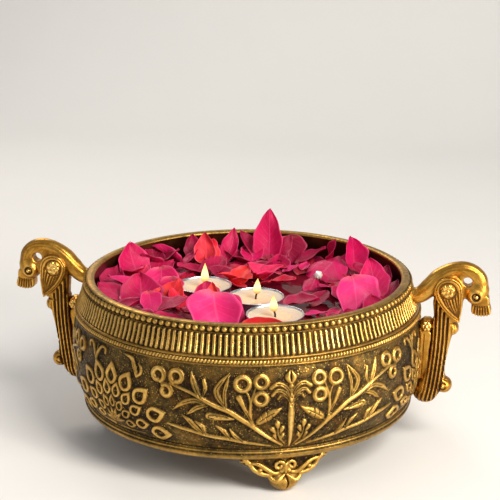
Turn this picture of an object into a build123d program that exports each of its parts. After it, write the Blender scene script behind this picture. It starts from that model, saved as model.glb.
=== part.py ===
"""Brass urli: a cast floating-candle bowl with two peacock handles and three scroll feet.

Millimetres. The origin is on the floor under the bowl's axis, +Z is up and the handles lie
along X. Bracts float on the water around three tealights.
"""
from build123d import *
import os

FITTING_ANGLE = -66.0         # handles and feet are cut to the bowl here, then turned into place

# ---- bowl ----
RIM_RADIUS = 110.3            # outside of the plain lip, above the beads
RIM_TOP = 115.4
LIP_INNER_RADIUS = 104.5
BEAD_BAND = (110.3, 114.4)    # height range of the row of beads under the lip
FLUTE_BAND = (96.4, 109.8)    # height range of the leaning band of flutes
ROPE_BAND = (91.2, 95.4)      # height range of the roped string course
RING_BAND = (25.6, 33.2)      # height range of the base moulding
BELLY_RADIUS = 121.0
BELLY_HEIGHT = 66.0
UNDERSIDE_HEIGHT = 21.0       # lowest point of the bowl, on the axis
FLOOR_INSIDE = 25.0           # inside of the bowl, on the axis

# ---- water and what floats on it ----
WATER_LEVEL = 94.5
TEALIGHT_PLACES = [(8.2, -14.0), (27.6, -48.0), (-31.7, 4.0)]
TEALIGHT_RADIUS = 19.0
TEALIGHT_HEIGHT = 16.0
TEALIGHT_BASE = 87.3          # underside of a floating cup
CUP_WALL = 0.5
WICK_RADIUS = 0.75
WICK_TOP = 19.5               # above the cup's underside
RUNNING_GAP = 0.4             # kept all round a cup, so that it lifts out freely
BRACT_THICKNESS = 0.7
LAYER_STEP = 1.1              # from one layer of floating bracts to the next
WHITE_FLOWER_PLACE = (42.0, 43.0, 99.0)

# ---- handles: a peacock in the upright plane y = 0, as (radius, height) ----
NECK_THICKNESS = 12.0
BODY_THICKNESS = 14.0
WING_THICKNESS = 17.0
STRUT_THICKNESS = 10.0
HEAD_CENTRE = (155.4, 109.5)
HEAD_RADIUS = 7.3
NAPE_CENTRE = (148.6, 110.0)  # where the chin rests on the wing
NAPE_RADIUS = 3.6
NECK_HOLE = (149.2, 118.2)
NECK_HOLE_RADIUS = 3.5
KNOB_CENTRE = (135.8, 43.8)
KNOB_RADIUS = 5.6
PAW_CENTRE = (123.6, 39.0)
PAW_RADIUS = 9.0
ROSETTE_CENTRE = (123.2, 86.2)
ROSETTE_RADIUS = 5.2

# ---- feet ----
FOOT_ANGLES = {"front_foot": -66.0, "back_foot": 54.0, "left_foot": 174.0}
FOOT_RADIUS = 100.0           # bowl axis to the middle of a sole
APRON_RADII = (101.5, 108.5)
SOLE_RADIUS = 5.0
BALL_RADIUS = 10.8

# ---- rivets, countersunk and dressed flush inside the bowl ----
RIVET_RADIUS = 2.0
RIVET_HEAD_RADIUS = 3.8
RIVET_HEAD_DEPTH = 2.2
HANDLE_RIVETS = [(40.5, 112.4), (105.5, 108.1)]  # height, and radius of the wall's inside there
HANDLE_RIVET_TIP = 121.0      # blind end of the hole, from the bowl's axis
FOOT_RIVET_TIP = 13.0         # blind end of the hole, above the floor


def revolved(*edges):
    """Turn a closed outline, drawn as (radius, height), about the bowl's axis."""
    outline = Plane.XZ * make_face(edges)
    return revolve(outline, Axis.Z)


def outer_body():
    """The bowl as if it were solid: everything inside its outer surface."""
    lip_edge = (RIM_RADIUS, BEAD_BAND[1])
    bead_foot = (RIM_RADIUS + 0.6, BEAD_BAND[0])
    flute_top = (111.6, FLUTE_BAND[1])
    flute_foot = (116.2, FLUTE_BAND[0])
    rope_top = (117.2, ROPE_BAND[1])
    rope_foot = (118.4, ROPE_BAND[0])
    ring_top = (112.0, RING_BAND[1])
    ring_foot = (109.9, RING_BAND[0])
    return revolved(
        Line((0, UNDERSIDE_HEIGHT), (0, RIM_TOP)),
        Line((0, RIM_TOP), (107.5, RIM_TOP)),
        RadiusArc((107.5, RIM_TOP), lip_edge, 4.0),
        ThreePointArc(lip_edge, (RIM_RADIUS + 1.9, 112.4), bead_foot),
        Line(bead_foot, flute_top),
        Line(flute_top, flute_foot),
        Line(flute_foot, rope_top),
        ThreePointArc(rope_top, (118.8, 93.6), rope_foot),
        Spline(rope_foot, (120.4, 80.0), (BELLY_RADIUS, BELLY_HEIGHT), (120.6, 52.0), (118.0, 41.0),
               ring_top),
        ThreePointArc(ring_top, (113.6, 29.4), ring_foot),
        Spline(ring_foot, (70.0, 22.4), (0, UNDERSIDE_HEIGHT), tangents=[(-1, -0.15), (-1, 0)]),
    )


def cavity():
    """The hollow inside the bowl, up to and through its mouth."""
    lip = (LIP_INNER_RADIUS, 113.8)
    above = RIM_TOP + 5.0
    return revolved(
        Line((0, FLOOR_INSIDE), (0, above)),
        Line((0, above), (LIP_INNER_RADIUS + 1.2, above)),
        Line((LIP_INNER_RADIUS + 1.2, above), (LIP_INNER_RADIUS + 1.2, RIM_TOP)),
        ThreePointArc((LIP_INNER_RADIUS + 1.2, RIM_TOP), (LIP_INNER_RADIUS + 0.3, 114.8), lip),
        Spline(lip, (108.5, 105.0), (113.0, 94.0), (116.9, 78.0), (117.0, 60.0), (113.0, 42.0),
               (98.0, 30.0)),
        Spline((98.0, 30.0), (50.0, 26.2), (0, FLOOR_INSIDE), tangents=[(-1, -0.15), (-1, 0)]),
    )


def handle_rivet_blanks():
    """Two level rivets through the wall behind the right-hand handle."""
    blanks = []
    for height, wall_inside in HANDLE_RIVETS:
        shank_length = HANDLE_RIVET_TIP - wall_inside
        level = Location((wall_inside, 0, height), (0, 90, 0))
        shank = Cylinder(RIVET_RADIUS, shank_length, align=(Align.CENTER, Align.CENTER, Align.MIN))
        head = Cone(RIVET_HEAD_RADIUS, RIVET_RADIUS, RIVET_HEAD_DEPTH,
                    align=(Align.CENTER, Align.CENTER, Align.MIN))
        cap = Cylinder(RIVET_HEAD_RADIUS, 2.0, align=(Align.CENTER, Align.CENTER, Align.MAX))
        blanks.append(level * (shank + head + cap))
    return blanks


def foot_rivet_blank(angle):
    """The upright rivet that holds one foot, from the bowl's floor down into the foot."""
    head_face = 30.4
    hanging = (Align.CENTER, Align.CENTER, Align.MAX)
    shank = Cylinder(RIVET_RADIUS, head_face - FOOT_RIVET_TIP, align=hanging)
    head = Cone(RIVET_RADIUS, RIVET_HEAD_RADIUS, RIVET_HEAD_DEPTH, align=hanging)
    cap = Cylinder(RIVET_HEAD_RADIUS, 3.0, align=(Align.CENTER, Align.CENTER, Align.MIN))
    place = Rot(0, 0, angle) * Pos(FOOT_RADIUS, 0, head_face)
    return place * (shank + head + cap)


def plate(outline, thickness):
    """Extrude an outline, drawn as (radius, height) in the plane y = 0, evenly to both sides."""
    return extrude(Plane.XZ * outline, thickness / 2, both=True)


def disc(centre, radius, thickness):
    return plate(Pos(*centre) * Circle(radius), thickness)


def ball(centre, radius):
    return Pos(centre[0], 0, centre[1]) * Sphere(radius)


def neck_outline():
    """The arched neck, from its root on the rim over to the head."""
    back = [(109.0, 110.0), (117.0, 112.0), (121.6, 118.0), (130.7, 127.1), (142.0, 131.4),
            (153.4, 129.9), (161.2, 121.9), (163.2, 108.0)]
    throat = [(154.0, 108.0), (153.6, 119.5), (148.0, 123.4), (138.0, 121.0), (131.0, 116.0),
              (125.0, 106.0), (118.0, 101.0), (109.0, 101.0)]
    return make_face([Spline(*back), Line(back[-1], throat[0]), Spline(*throat), Line(throat[-1], back[0])])


def body_outline():
    """The breast and the upper half of the column under it."""
    return make_face(Spline((127.0, 103.0), (131.6, 119.0), (138.5, 122.0), (145.0, 117.0), (146.8, 105.0),
                            (145.4, 95.0), (146.3, 84.0), (144.0, 77.0), (138.0, 73.0), (127.4, 76.0),
                            (127.9, 90.0), periodic=True))


def wing_outline():
    """The folded wing on each cheek of the body, round above and pointed below."""
    tip = (145.1, 90.6)
    edge = [tip, (132.4, 101.3), (127.9, 112.0), (133.5, 120.4), (142.4, 119.7), (146.4, 108.0), tip]
    return make_face([Spline(*edge)])


def column_outline():
    """The lower column and the foliage that joins it to the paw."""
    outer = [(139.6, 76.0), (137.6, 67.0), (136.0, 54.0), (137.5, 48.0), (133.0, 36.5)]
    inner = [(118.0, 34.0), (119.0, 50.0), (125.6, 64.0), (127.9, 81.0)]
    return make_face([Spline(*outer), Line(outer[-1], inner[0]), Spline(*inner), Line(inner[-1], outer[0])])


def strut_outline():
    """The short pilaster between the column and the wall."""
    corners = [(115.0, 48.0), (115.0, 82.0), (126.6, 82.0), (125.4, 66.0), (123.6, 48.0)]
    return make_face(Polyline(*corners, close=True))


def crest_outline():
    """The fan of feathers under the beak."""
    return make_face([Line((162.4, 110.0), (152.6, 106.0)), Line((152.6, 106.0), (152.4, 97.8)),
                      ThreePointArc((152.4, 97.8), (158.0, 94.2), (165.0, 95.7)),
                      ThreePointArc((165.0, 95.7), (166.0, 100.0), (162.4, 110.0))])


def peacock_handle(bowl_outer):
    """The right-hand cast handle, cut to sit on the bowl's wall."""
    solid = plate(neck_outline(), NECK_THICKNESS)
    solid += plate(body_outline(), BODY_THICKNESS)
    solid += plate(wing_outline(), WING_THICKNESS)
    solid += plate(column_outline(), BODY_THICKNESS - 1)
    solid += plate(strut_outline(), STRUT_THICKNESS)
    solid += plate(crest_outline(), NECK_THICKNESS - 3)
    solid += ball(HEAD_CENTRE, HEAD_RADIUS)
    solid += disc(NAPE_CENTRE, NAPE_RADIUS, NECK_THICKNESS - 3)
    solid += ball(KNOB_CENTRE, KNOB_RADIUS)
    solid += ball(PAW_CENTRE, PAW_RADIUS)
    solid += disc(ROSETTE_CENTRE, ROSETTE_RADIUS, BODY_THICKNESS)
    solid -= disc(NECK_HOLE, NECK_HOLE_RADIUS, 2 * NECK_THICKNESS)
    solid = (Rot(0, 0, FITTING_ANGLE) * solid) - bowl_outer
    for rivet in handle_rivet_blanks():
        solid -= Rot(0, 0, FITTING_ANGLE) * rivet
    return Rot(0, 0, -FITTING_ANGLE) * solid


def apron_outline():
    """Half the scrolled apron of a foot, as (distance from its middle, height)."""
    top = 29.0
    return make_face([Line((0, 9.0), (0, top)), Line((0, top), (29.0, top)),
                      Line((29.0, top), (28.5, 22.0)),
                      ThreePointArc((28.5, 22.0), (20.0, 19.6), (12.5, 18.0)),
                      ThreePointArc((12.5, 18.0), (9.5, 11.5), (0, 9.0))])


def scroll_foot(angle, bowl_outer):
    """One cast foot: a ball on a flat sole, under two volutes and a spreading leaf apron."""
    outward = Plane(origin=(APRON_RADII[0] - 15, 0, 0), x_dir=(0, 1, 0), z_dir=(1, 0, 0))
    half = extrude(outward * apron_outline(), 30)
    hoop = Cylinder(APRON_RADII[1], 60) - Cylinder(APRON_RADII[0], 60)
    solid = (half + mirror(half, Plane.XZ)) & hoop
    sole = (SOLE_RADIUS, 0)
    shoulder = (7.0, 15.0)
    profile = make_face([Line((0, 0), sole), ThreePointArc(sole, (BALL_RADIUS, 8.0), shoulder),
                         Line(shoulder, (7.0, 28.0)), Line((7.0, 28.0), (0, 28.0)),
                         Line((0, 28.0), (0, 0))])
    solid += Pos(FOOT_RADIUS, 0, 0) * revolve(Plane.XZ * profile, Axis.Z)
    for across in (-6.6, 6.6):
        volute = Location((APRON_RADII[0] + 1.5, across, 17.6), (0, 90, 0)) * Cylinder(4.9, 11.0)
        solid += volute
    fitted = (Rot(0, 0, FITTING_ANGLE) * solid) - bowl_outer - foot_rivet_blank(FITTING_ANGLE)
    return Rot(0, 0, angle - FITTING_ANGLE) * fitted


def tealight_cup():
    """The drawn aluminium cup with its rolled lip."""
    radius = TEALIGHT_RADIUS
    profile = make_face(Polyline((0, 0), (radius - 0.6, 0), (radius, 1.0), (radius, TEALIGHT_HEIGHT - 0.9),
                                 (radius + 0.35, TEALIGHT_HEIGHT - 0.6), (radius + 0.35, TEALIGHT_HEIGHT),
                                 (radius - CUP_WALL, TEALIGHT_HEIGHT), (radius - CUP_WALL, 1.2),
                                 (radius - 1.1, CUP_WALL), (0, CUP_WALL), close=True))
    return revolve(Plane.XZ * profile, Axis.Z)


def wick_sustainer():
    """The steel disc and collar that keep the wick upright."""
    disc_radius = 6.5
    collar_radius = 1.5
    from_floor = (Align.CENTER, Align.CENTER, Align.MIN)
    solid = Cylinder(disc_radius, 0.4, align=from_floor) + Cylinder(collar_radius, 3.5, align=from_floor)
    return Pos(0, 0, CUP_WALL) * (solid - Cylinder(WICK_RADIUS, 20))


def wick():
    tall = WICK_TOP - CUP_WALL
    return Pos(0, 0, CUP_WALL) * Cylinder(WICK_RADIUS, tall, align=(Align.CENTER, Align.CENTER, Align.MIN))


def wax_fill():
    """The wax, hollowed a little at the top where it melts."""
    radius = TEALIGHT_RADIUS - CUP_WALL - 0.02
    top = TEALIGHT_HEIGHT - 0.8
    pool = make_face([Line((0, CUP_WALL), (radius - 1.0, CUP_WALL)),
                      Line((radius - 1.0, CUP_WALL), (radius, 2.0)),
                      Line((radius, 2.0), (radius, top)),
                      ThreePointArc((radius, top), (9.0, top - 1.3), (0, top - 1.6)),
                      Line((0, top - 1.6), (0, CUP_WALL))])
    return revolve(Plane.XZ * pool, Axis.Z) - wick() - wick_sustainer()


def bract(length, width):
    """One flat bract, pointed at both ends, lying in the plane z = 0 along X."""
    stalk, tip, side = (-length / 2, 0), (length / 2, 0), width / 2
    leaf = make_face([ThreePointArc(stalk, (-0.1 * length, side), tip),
                      ThreePointArc(tip, (-0.1 * length, -side), stalk)])
    return extrude(leaf, BRACT_THICKNESS)


# Each floating bract: x, y, layer above the water, heading in degrees, length, width.
FLOATING_BRACTS = {
    "left_bracts": [
        (-92, -22, 0, 70, 34, 22), (-70, -46, 0, 20, 34, 22), (-62, -16, 1, 100, 34, 24),
        (-86, 12, 1, 75, 36, 24), (-66, 22, 0, 30, 30, 20), (-84, 44, 0, 120, 34, 22),
        (-58, -66, 1, -30, 34, 20), (-84, -2, 2, 10, 30, 20), (-74, -32, 2, 60, 30, 20),
        (-44, -46, 2, -20, 34, 22), (-70, 60, 2, 40, 32, 20), (-60, 38, 2, 80, 28, 18)],
    "back_bracts": [
        (-50, 82, 0, 10, 34, 22), (-22, 92, 1, -10, 32, 22), (-16, 68, 0, 30, 34, 22),
        (-40, 62, 1, -30, 32, 20), (14, 92, 0, 15, 34, 22), (6, 72, 2, 60, 30, 20),
        (-8, 46, 1, 100, 32, 22), (-18, 44, 3, 20, 26, 16),
        (38, 82, 1, -20, 32, 20), (20, 62, 0, -50, 26, 18)],
    "right_bracts": [
        (90, 6, 0, 95, 34, 22), (76, -8, 2, 20, 36, 24), (88, 34, 1, 60, 32, 22), (64, 66, 0, -45, 34, 22),
        (76, 50, 2, 10, 30, 20), (46, 46, 1, 15, 28, 18), (44, 62, 3, 120, 24, 16), (66, -34, 0, -60, 24, 15),
        (56, -18, 1, 10, 18, 12), (84, -34, 1, -75, 30, 20)],
    "front_bracts": [
        (-14, -62, 2, 12, 44, 26), (-26, -36, 0, 60, 28, 20), (-18, -84, 0, -10, 34, 22),
        (14, -88, 1, 15, 34, 20),
        (46, -80, 0, 30, 32, 20), (66, -62, 2, 50, 28, 18), (2, -43, 1, 100, 14, 9)],
}

# Each standing bract: x, y, height of its lower tip, heading, lean from upright, length, width.
STANDING_BRACTS = {
    "left_bracts": [(-63, 68, 99.0, -79, 12, 17, 8)],
    "back_bracts": [(1, 88, 99.0, 101, 4, 38, 20), (-32, 74, 99.5, 101, 10, 17, 13),
                    (-45, 68, 99.5, 96, 8, 18.5, 12)],
    "right_bracts": [(46, 79, 99.5, -30, 10, 18, 9), (65, 69, 99.5, 100, 10, 17.5, 14)],
    "front_bracts": [(-22, -20, 98.0, -79, 15, 12, 8)],
}


def bract_group(name):
    """All the bracts of one side of the bowl, as separate thin solids."""
    solids = []
    for x, y, layer, heading, length, width in FLOATING_BRACTS[name]:
        height = WATER_LEVEL + 0.1 + layer * LAYER_STEP
        solids.append(Pos(x, y, height) * Rot(0, 0, heading) * bract(length, width))
    for x, y, height, heading, lean, length, width in STANDING_BRACTS[name]:
        upright = Rot(0, lean - 90, 0) * Pos(length / 2, 0, 0) * bract(length, width)
        solids.append(Pos(x, y, height) * Rot(0, 0, heading) * upright)
    return Compound(children=solids)


def white_flower():
    """A small five-petalled flower with a round heart, lying on the bracts."""
    solid = Sphere(1.7)
    for turn in range(5):
        solid += Rot(0, 0, turn * 72) * Pos(3.2, 0, 0) * Cylinder(2.7, 0.8)
    return Pos(*WHITE_FLOWER_PLACE) * solid


def write(name, shape):
    export_step(shape, os.path.join("parts", name + ".step"))


def build():
    os.makedirs("parts", exist_ok=True)
    bowl_outer = outer_body()
    hollow = cavity()
    shell = bowl_outer - hollow
    below_surface = Box(300, 300, 100, align=(Align.CENTER, Align.CENTER, Align.MAX))
    water = hollow & (Pos(0, 0, WATER_LEVEL) * below_surface)

    handle = peacock_handle(bowl_outer)
    for word, turn in (("right", 0), ("left", 180)):
        blanks = [Rot(0, 0, turn) * blank for blank in handle_rivet_blanks()]
        write(word + "_peacock_handle", Rot(0, 0, turn) * handle)
        write(word + "_handle_rivets", Compound(children=[blank - hollow for blank in blanks]))
        for blank in blanks:
            shell -= blank

    foot_rivets = []
    for name, angle in FOOT_ANGLES.items():
        blank = foot_rivet_blank(angle)
        write(name, scroll_foot(angle, bowl_outer))
        foot_rivets.append(blank - hollow)
        shell -= blank
    write("foot_rivets", Compound(children=foot_rivets))
    write("bowl_shell", shell)

    for number, (x, y) in enumerate(TEALIGHT_PLACES, start=1):
        place = Pos(x, y, TEALIGHT_BASE)
        write("tealight_cup_%d" % number, place * tealight_cup())
        write("wax_%d" % number, place * wax_fill())
        write("wick_%d" % number, place * wick())
        write("wick_sustainer_%d" % number, place * wick_sustainer())
        well = Cylinder(TEALIGHT_RADIUS + RUNNING_GAP, 40, align=(Align.CENTER, Align.CENTER, Align.MIN))
        water -= Pos(x, y, TEALIGHT_BASE - RUNNING_GAP) * well
    write("water", water)

    for name in FLOATING_BRACTS:
        write(name, bract_group(name))
    write("white_flower", white_flower())


build()
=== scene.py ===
"""Brass urli with peacock handles, floating bracts and lit tealights: the looks around its CAD frame.

Shapes are worked out in millimetres with numpy and turned into metres when a mesh is made.
"""
import math

import bpy
import numpy as np
import openvdb
from mathutils import Matrix, Vector


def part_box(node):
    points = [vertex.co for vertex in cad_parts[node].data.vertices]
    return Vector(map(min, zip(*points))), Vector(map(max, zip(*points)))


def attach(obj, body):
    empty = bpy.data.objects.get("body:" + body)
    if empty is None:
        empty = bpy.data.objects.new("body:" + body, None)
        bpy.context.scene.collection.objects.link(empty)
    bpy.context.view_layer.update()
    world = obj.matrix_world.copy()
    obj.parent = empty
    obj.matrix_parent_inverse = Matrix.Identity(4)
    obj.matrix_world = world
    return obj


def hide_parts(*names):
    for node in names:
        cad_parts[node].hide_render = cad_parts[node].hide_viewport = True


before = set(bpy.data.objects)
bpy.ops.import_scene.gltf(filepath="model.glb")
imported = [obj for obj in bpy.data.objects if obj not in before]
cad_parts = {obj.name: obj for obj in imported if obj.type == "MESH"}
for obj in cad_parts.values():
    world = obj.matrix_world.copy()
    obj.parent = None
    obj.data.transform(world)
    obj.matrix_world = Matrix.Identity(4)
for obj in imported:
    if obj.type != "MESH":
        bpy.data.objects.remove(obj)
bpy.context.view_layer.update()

MM = 0.001
DETAIL = 1.0


def upper(node):
    """Highest corner of a CAD node, in millimetres."""
    return np.array(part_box(node)[1]) / MM


def lower(node):
    """Lowest corner of a CAD node, in millimetres."""
    return np.array(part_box(node)[0]) / MM


# ---------------------------------------------------------------- sizes, in millimetres

BELLY_RADIUS = upper("bowl_shell")[0]
WATER_LEVEL = upper("water")[2]
SECTORS = 3                      # the frieze repeats over each foot
FOOT_ANGLE = -66.0               # of the front foot; the others follow at equal steps
COLUMNS = int(1920 * DETAIL) // SECTORS * SECTORS
BEADS = 150
FLUTES = 189
ROPE_TURNS = 321
FRIEZE_FOOT = 33.2
FRIEZE_TOP = 91.2
FRIEZE_SCALE = 120.0             # radius that turns the frieze's angles into lengths
RELIEF_SUNK = 1.65               # the ground of the frieze lies this far inside the CAD surface


# ---------------------------------------------------------------- meshes

def make_mesh(name, points, faces, material, smooth=True, **attributes):
    """A mesh object from arrays in millimetres; each attribute is one number per vertex."""
    mesh = bpy.data.meshes.new(name)
    faces = np.asarray(faces, dtype=np.int32)
    sides = faces.shape[1]
    mesh.vertices.add(len(points))
    mesh.vertices.foreach_set("co", (np.asarray(points, dtype=np.float32) * MM).ravel())
    mesh.loops.add(faces.size)
    mesh.loops.foreach_set("vertex_index", faces.ravel())
    mesh.polygons.add(len(faces))
    mesh.polygons.foreach_set("loop_start", np.arange(0, faces.size, sides, dtype=np.int32))
    mesh.polygons.foreach_set("use_smooth", np.full(len(faces), smooth))
    mesh.update(calc_edges=True)
    mesh.validate()
    for key, values in attributes.items():
        layer = mesh.attributes.new(key, "FLOAT", "POINT")
        layer.data.foreach_set("value", np.asarray(values, dtype=np.float32).ravel())
    mesh.materials.append(material)
    thing = bpy.data.objects.new(name, mesh)
    bpy.context.scene.collection.objects.link(thing)
    return thing


def grid_faces(rows, columns, wrap=False):
    """Quads of a rows by columns grid of vertices; wrap joins the last column to the first."""
    across = columns if wrap else columns - 1
    i, j = np.meshgrid(np.arange(rows - 1), np.arange(across), indexing="ij")
    k = (j + 1) % columns
    return np.stack([i * columns + j, i * columns + k, (i + 1) * columns + k, (i + 1) * columns + j],
                    -1).reshape(-1, 4)


def piece(thing, body, slot_name, *nodes):
    """Attaches a finished piece to what it rides on and hides the CAD nodes it stands for; slot_name is not
    used.
    """
    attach(thing, body)
    if nodes:
        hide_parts(*nodes)
    return thing


def blur(field, radius, wrap_columns=False):
    """Box blur, twice, of a 2-D field."""
    for _ in range(2):
        for axis in (0, 1):
            mode = "wrap" if wrap_columns and axis == 1 else "edge"
            pad = [(0, 0), (0, 0)]
            pad[axis] = (radius + 1, radius)
            total = np.cumsum(np.pad(field, pad, mode=mode), axis=axis)
            width = 2 * radius + 1
            if axis == 0:
                field = (total[width:, :] - total[:-width, :]) / width
            else:
                field = (total[:, width:] - total[:, :-width]) / width
    return field


# ---------------------------------------------------------------- relief drawn with round brushes

def arc_length(curve):
    """How far along a curve each of its points is."""
    return np.concatenate([[0], np.cumsum(np.linalg.norm(np.diff(curve, axis=0), axis=1))])


def smooth_curve(points, step):
    """Points about step apart on a Catmull-Rom curve through the given ones, and how far along, 0 to 1."""
    points = np.asarray(points, dtype=float)
    ends = np.vstack([2 * points[0] - points[1], points, 2 * points[-1] - points[-2]])
    out = []
    for a, b, c, d in zip(ends, ends[1:], ends[2:], ends[3:]):
        count = max(2, int(np.linalg.norm(c - b) / step))
        t = np.arange(count)[:, None] / count
        out.append(0.5 * (2 * b + (c - a) * t + (2 * a - 5 * b + 4 * c - d) * t**2
                          + (3 * b - a - 3 * c + d) * t**3))
    out = np.vstack(out + [points[-1:]])
    along = arc_length(out)
    return out, along / along[-1]


def arc(centre, radius, start, sweep, shrink=1.0):
    """Points on a circular arc in degrees, or on a spiral whose radius ends at shrink times its first."""
    turns = np.radians(np.linspace(start, start + sweep, max(4, int(abs(sweep) / 20))))
    radii = np.linspace(radius, radius * shrink, len(turns))
    return np.stack([centre[0] + radii * np.cos(turns), centre[1] + radii * np.sin(turns)], -1)


class Relief:
    """Raised and cut heights over a flat drawing, in millimetres: u runs across and v up."""

    def __init__(self, u, v):
        self.u = u
        self.v = v
        self.raised = np.zeros((len(v), len(u)))
        self.cut = np.zeros((len(v), len(u)))

    def window(self, u, v, reach):
        j0, j1 = np.searchsorted(self.u, (u - reach, u + reach))
        up = self.v[-1] > self.v[0]
        rows = self.v if up else self.v[::-1]
        i0, i1 = np.searchsorted(rows, (v - reach, v + reach))
        if not up:
            i0, i1 = len(rows) - i1, len(rows) - i0
        return slice(i0, i1), slice(j0, j1)

    def dab(self, u, v, radius, height, field=None):
        """A round dome, or the same shape cut in."""
        field = self.raised if field is None else field
        rows, columns = self.window(u, v, radius)
        away = ((self.u[None, columns] - u)**2 + (self.v[rows, None] - v)**2) / radius**2
        dome = height * np.sqrt(np.clip(1 - away, 0, None))
        np.maximum(field[rows, columns], dome, out=field[rows, columns])

    def stroke(self, points, widths, height=1.3, field=None):
        """A ridge of round section along a smooth curve; widths are half-widths, spread evenly along it."""
        curve, along = smooth_curve(points, 0.35)
        widths = np.interp(along, np.linspace(0, 1, len(np.atleast_1d(widths))), np.atleast_1d(widths))
        for (u, v), width in zip(curve, widths):
            self.dab(u, v, max(width, 0.3), height * min(1.0, 0.45 + 0.4 * width), field)

    def carve(self, points, width=0.4, depth=0.6):
        self.stroke(points, width, depth / 0.6, self.cut)

    def leaf(self, points, widths, height=1.2, rib=True):
        """A pointed blade with a cut midrib."""
        self.stroke(points, widths, height)
        if rib:
            self.carve(points[:-1] if len(points) > 3 else points[:2], 0.38, 0.7)

    def ring(self, centre, radius, width, start=0, sweep=360, shrink=1.0, height=1.5):
        """A thick rolled ring with a fine line cut round its crown."""
        self.stroke(arc(centre, radius, start, sweep, shrink), width, height)
        self.carve(arc(centre, radius + 0.45 * width, start, sweep, shrink), 0.32, 0.4)

    def feather(self, root, angle, reach, length, width, height=1.3):
        """One peacock eye: a drop with its point away from root, hollowed by a smaller drop."""
        turn = math.radians(angle)
        outward = np.array([math.sin(turn), math.cos(turn)])
        centre = np.asarray(root) + outward * reach
        rows, columns = self.window(*centre, length)
        du = self.u[None, columns] - centre[0]
        dv = self.v[rows, None] - centre[1]
        along = du * outward[0] + dv * outward[1]
        across = np.abs(du * outward[1] - dv * outward[0])
        edge = drop_edge(along, across, length, width)
        eye = drop_edge(along + 0.07 * length, across, 0.58 * length, 0.56 * width)
        dome = height * np.sqrt(np.clip(edge / 0.9, 0, 1))
        hollow = np.clip(eye / 0.6, 0, 1)
        shape = dome * (1 - 0.92 * hollow)
        pupil = np.clip(drop_edge(along + 0.07 * length, across, 0.2 * length, 0.16 * width) / 0.5, 0, 1)
        shape = np.maximum(shape, 0.45 * height * pupil)
        inside = edge > -0.35
        target = self.raised[rows, columns]
        target[inside] = np.maximum(shape, 0)[inside]

    def heights(self):
        return np.where(self.raised > 0.05, np.maximum(self.raised - self.cut, 0.05), -0.5 * self.cut)


def drop_edge(along, across, length, width):
    """Roughly how far inside a drop shape a point is; its round end is behind and its point ahead."""
    t = along / length + 0.5
    back = np.sqrt(np.clip(1 - ((t - 0.42) / 0.42)**2, 0, None))
    front = np.clip(1 - np.clip((t - 0.42) / 0.58, 0, None)**1.55, 0, None)
    half = 0.5 * width * np.where(t < 0.42, back, front)
    edge = half - across
    return np.where((t < 0) | (t > 1), -1.0, edge)


# ---------------------------------------------------------------- the frieze, drawn over half a repeat

def draw_branch(r):
    """The long branch that climbs from the foot to the swirl, with its leaves."""
    r.stroke([(-4.4, 35.8), (-17, 45.7), (-24, 51.6), (-31.5, 56.9), (-39, 61.9), (-48.6, 65.6),
              (-62.3, 72.2), (-77.5, 77)], [0.8, 1.3, 1.7, 1.9, 1.8, 1.5, 1.1, 0.9], 1.5)
    r.leaf([(-56.8, 69.8), (-59.9, 75.5), (-62, 81.3), (-63.2, 86.3)], [0.8, 2.4, 2.1, 0.3])
    r.leaf([(-55.4, 71), (-53.8, 76), (-54.9, 81.6)], [0.8, 1.6, 1.2])
    r.leaf([(-40.9, 64.9), (-45, 69.7), (-46.8, 75.7), (-43, 81.8), (-38.7, 86.6)],
           [1.2, 2.0, 2.1, 1.6, 0.3])
    r.leaf([(-41.5, 66), (-41.6, 74), (-40.4, 79), (-38.9, 85)], [1.6, 1.3, 1.5, 0.4])
    r.leaf([(-52.5, 65.2), (-60.3, 67.8), (-68.4, 65.2), (-75.8, 59.3)], [0.9, 2.1, 1.9, 0.3])
    r.leaf([(-53.4, 65), (-59.4, 63), (-63.4, 59.7), (-66, 57.8)], [0.8, 1.9, 1.6, 0.4])
    r.stroke([(-36, 56.8), (-42.9, 57.4), (-48.5, 57.8), (-51.5, 58.2)], [0.8, 1.6, 2.5, 2.5], 1.4)
    r.carve([(-40, 57.6), (-46, 58.6), (-51, 58.9), (-51.6, 57.1), (-48.5, 56.7)], 0.5, 0.8)


def draw_low_branch(r):
    """The branch that runs along the foot of the frieze."""
    r.stroke([(-12, 35.4), (-29.7, 39.6), (-39.5, 42), (-49.3, 43.2), (-57.2, 44.7), (-64.2, 46.4),
              (-79.8, 49.2)],
             [0.5, 1.0, 1.4, 1.4, 1.2, 1.5, 0.6])
    r.leaf([(-56.1, 45.4), (-60.8, 49.6), (-64.6, 53.5), (-69.4, 57)], [0.8, 1.9, 1.6, 0.3])
    r.leaf([(-54.2, 44.4), (-55.9, 50), (-60.6, 53.2)], [0.8, 1.8, 0.5])
    r.leaf([(-38.5, 42.1), (-42.2, 47.7), (-47.4, 51.4)], [0.8, 1.8, 0.4])
    r.leaf([(-30.7, 40.1), (-35.5, 44.8), (-38.6, 49.6)], [0.8, 1.5, 0.5])


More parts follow.
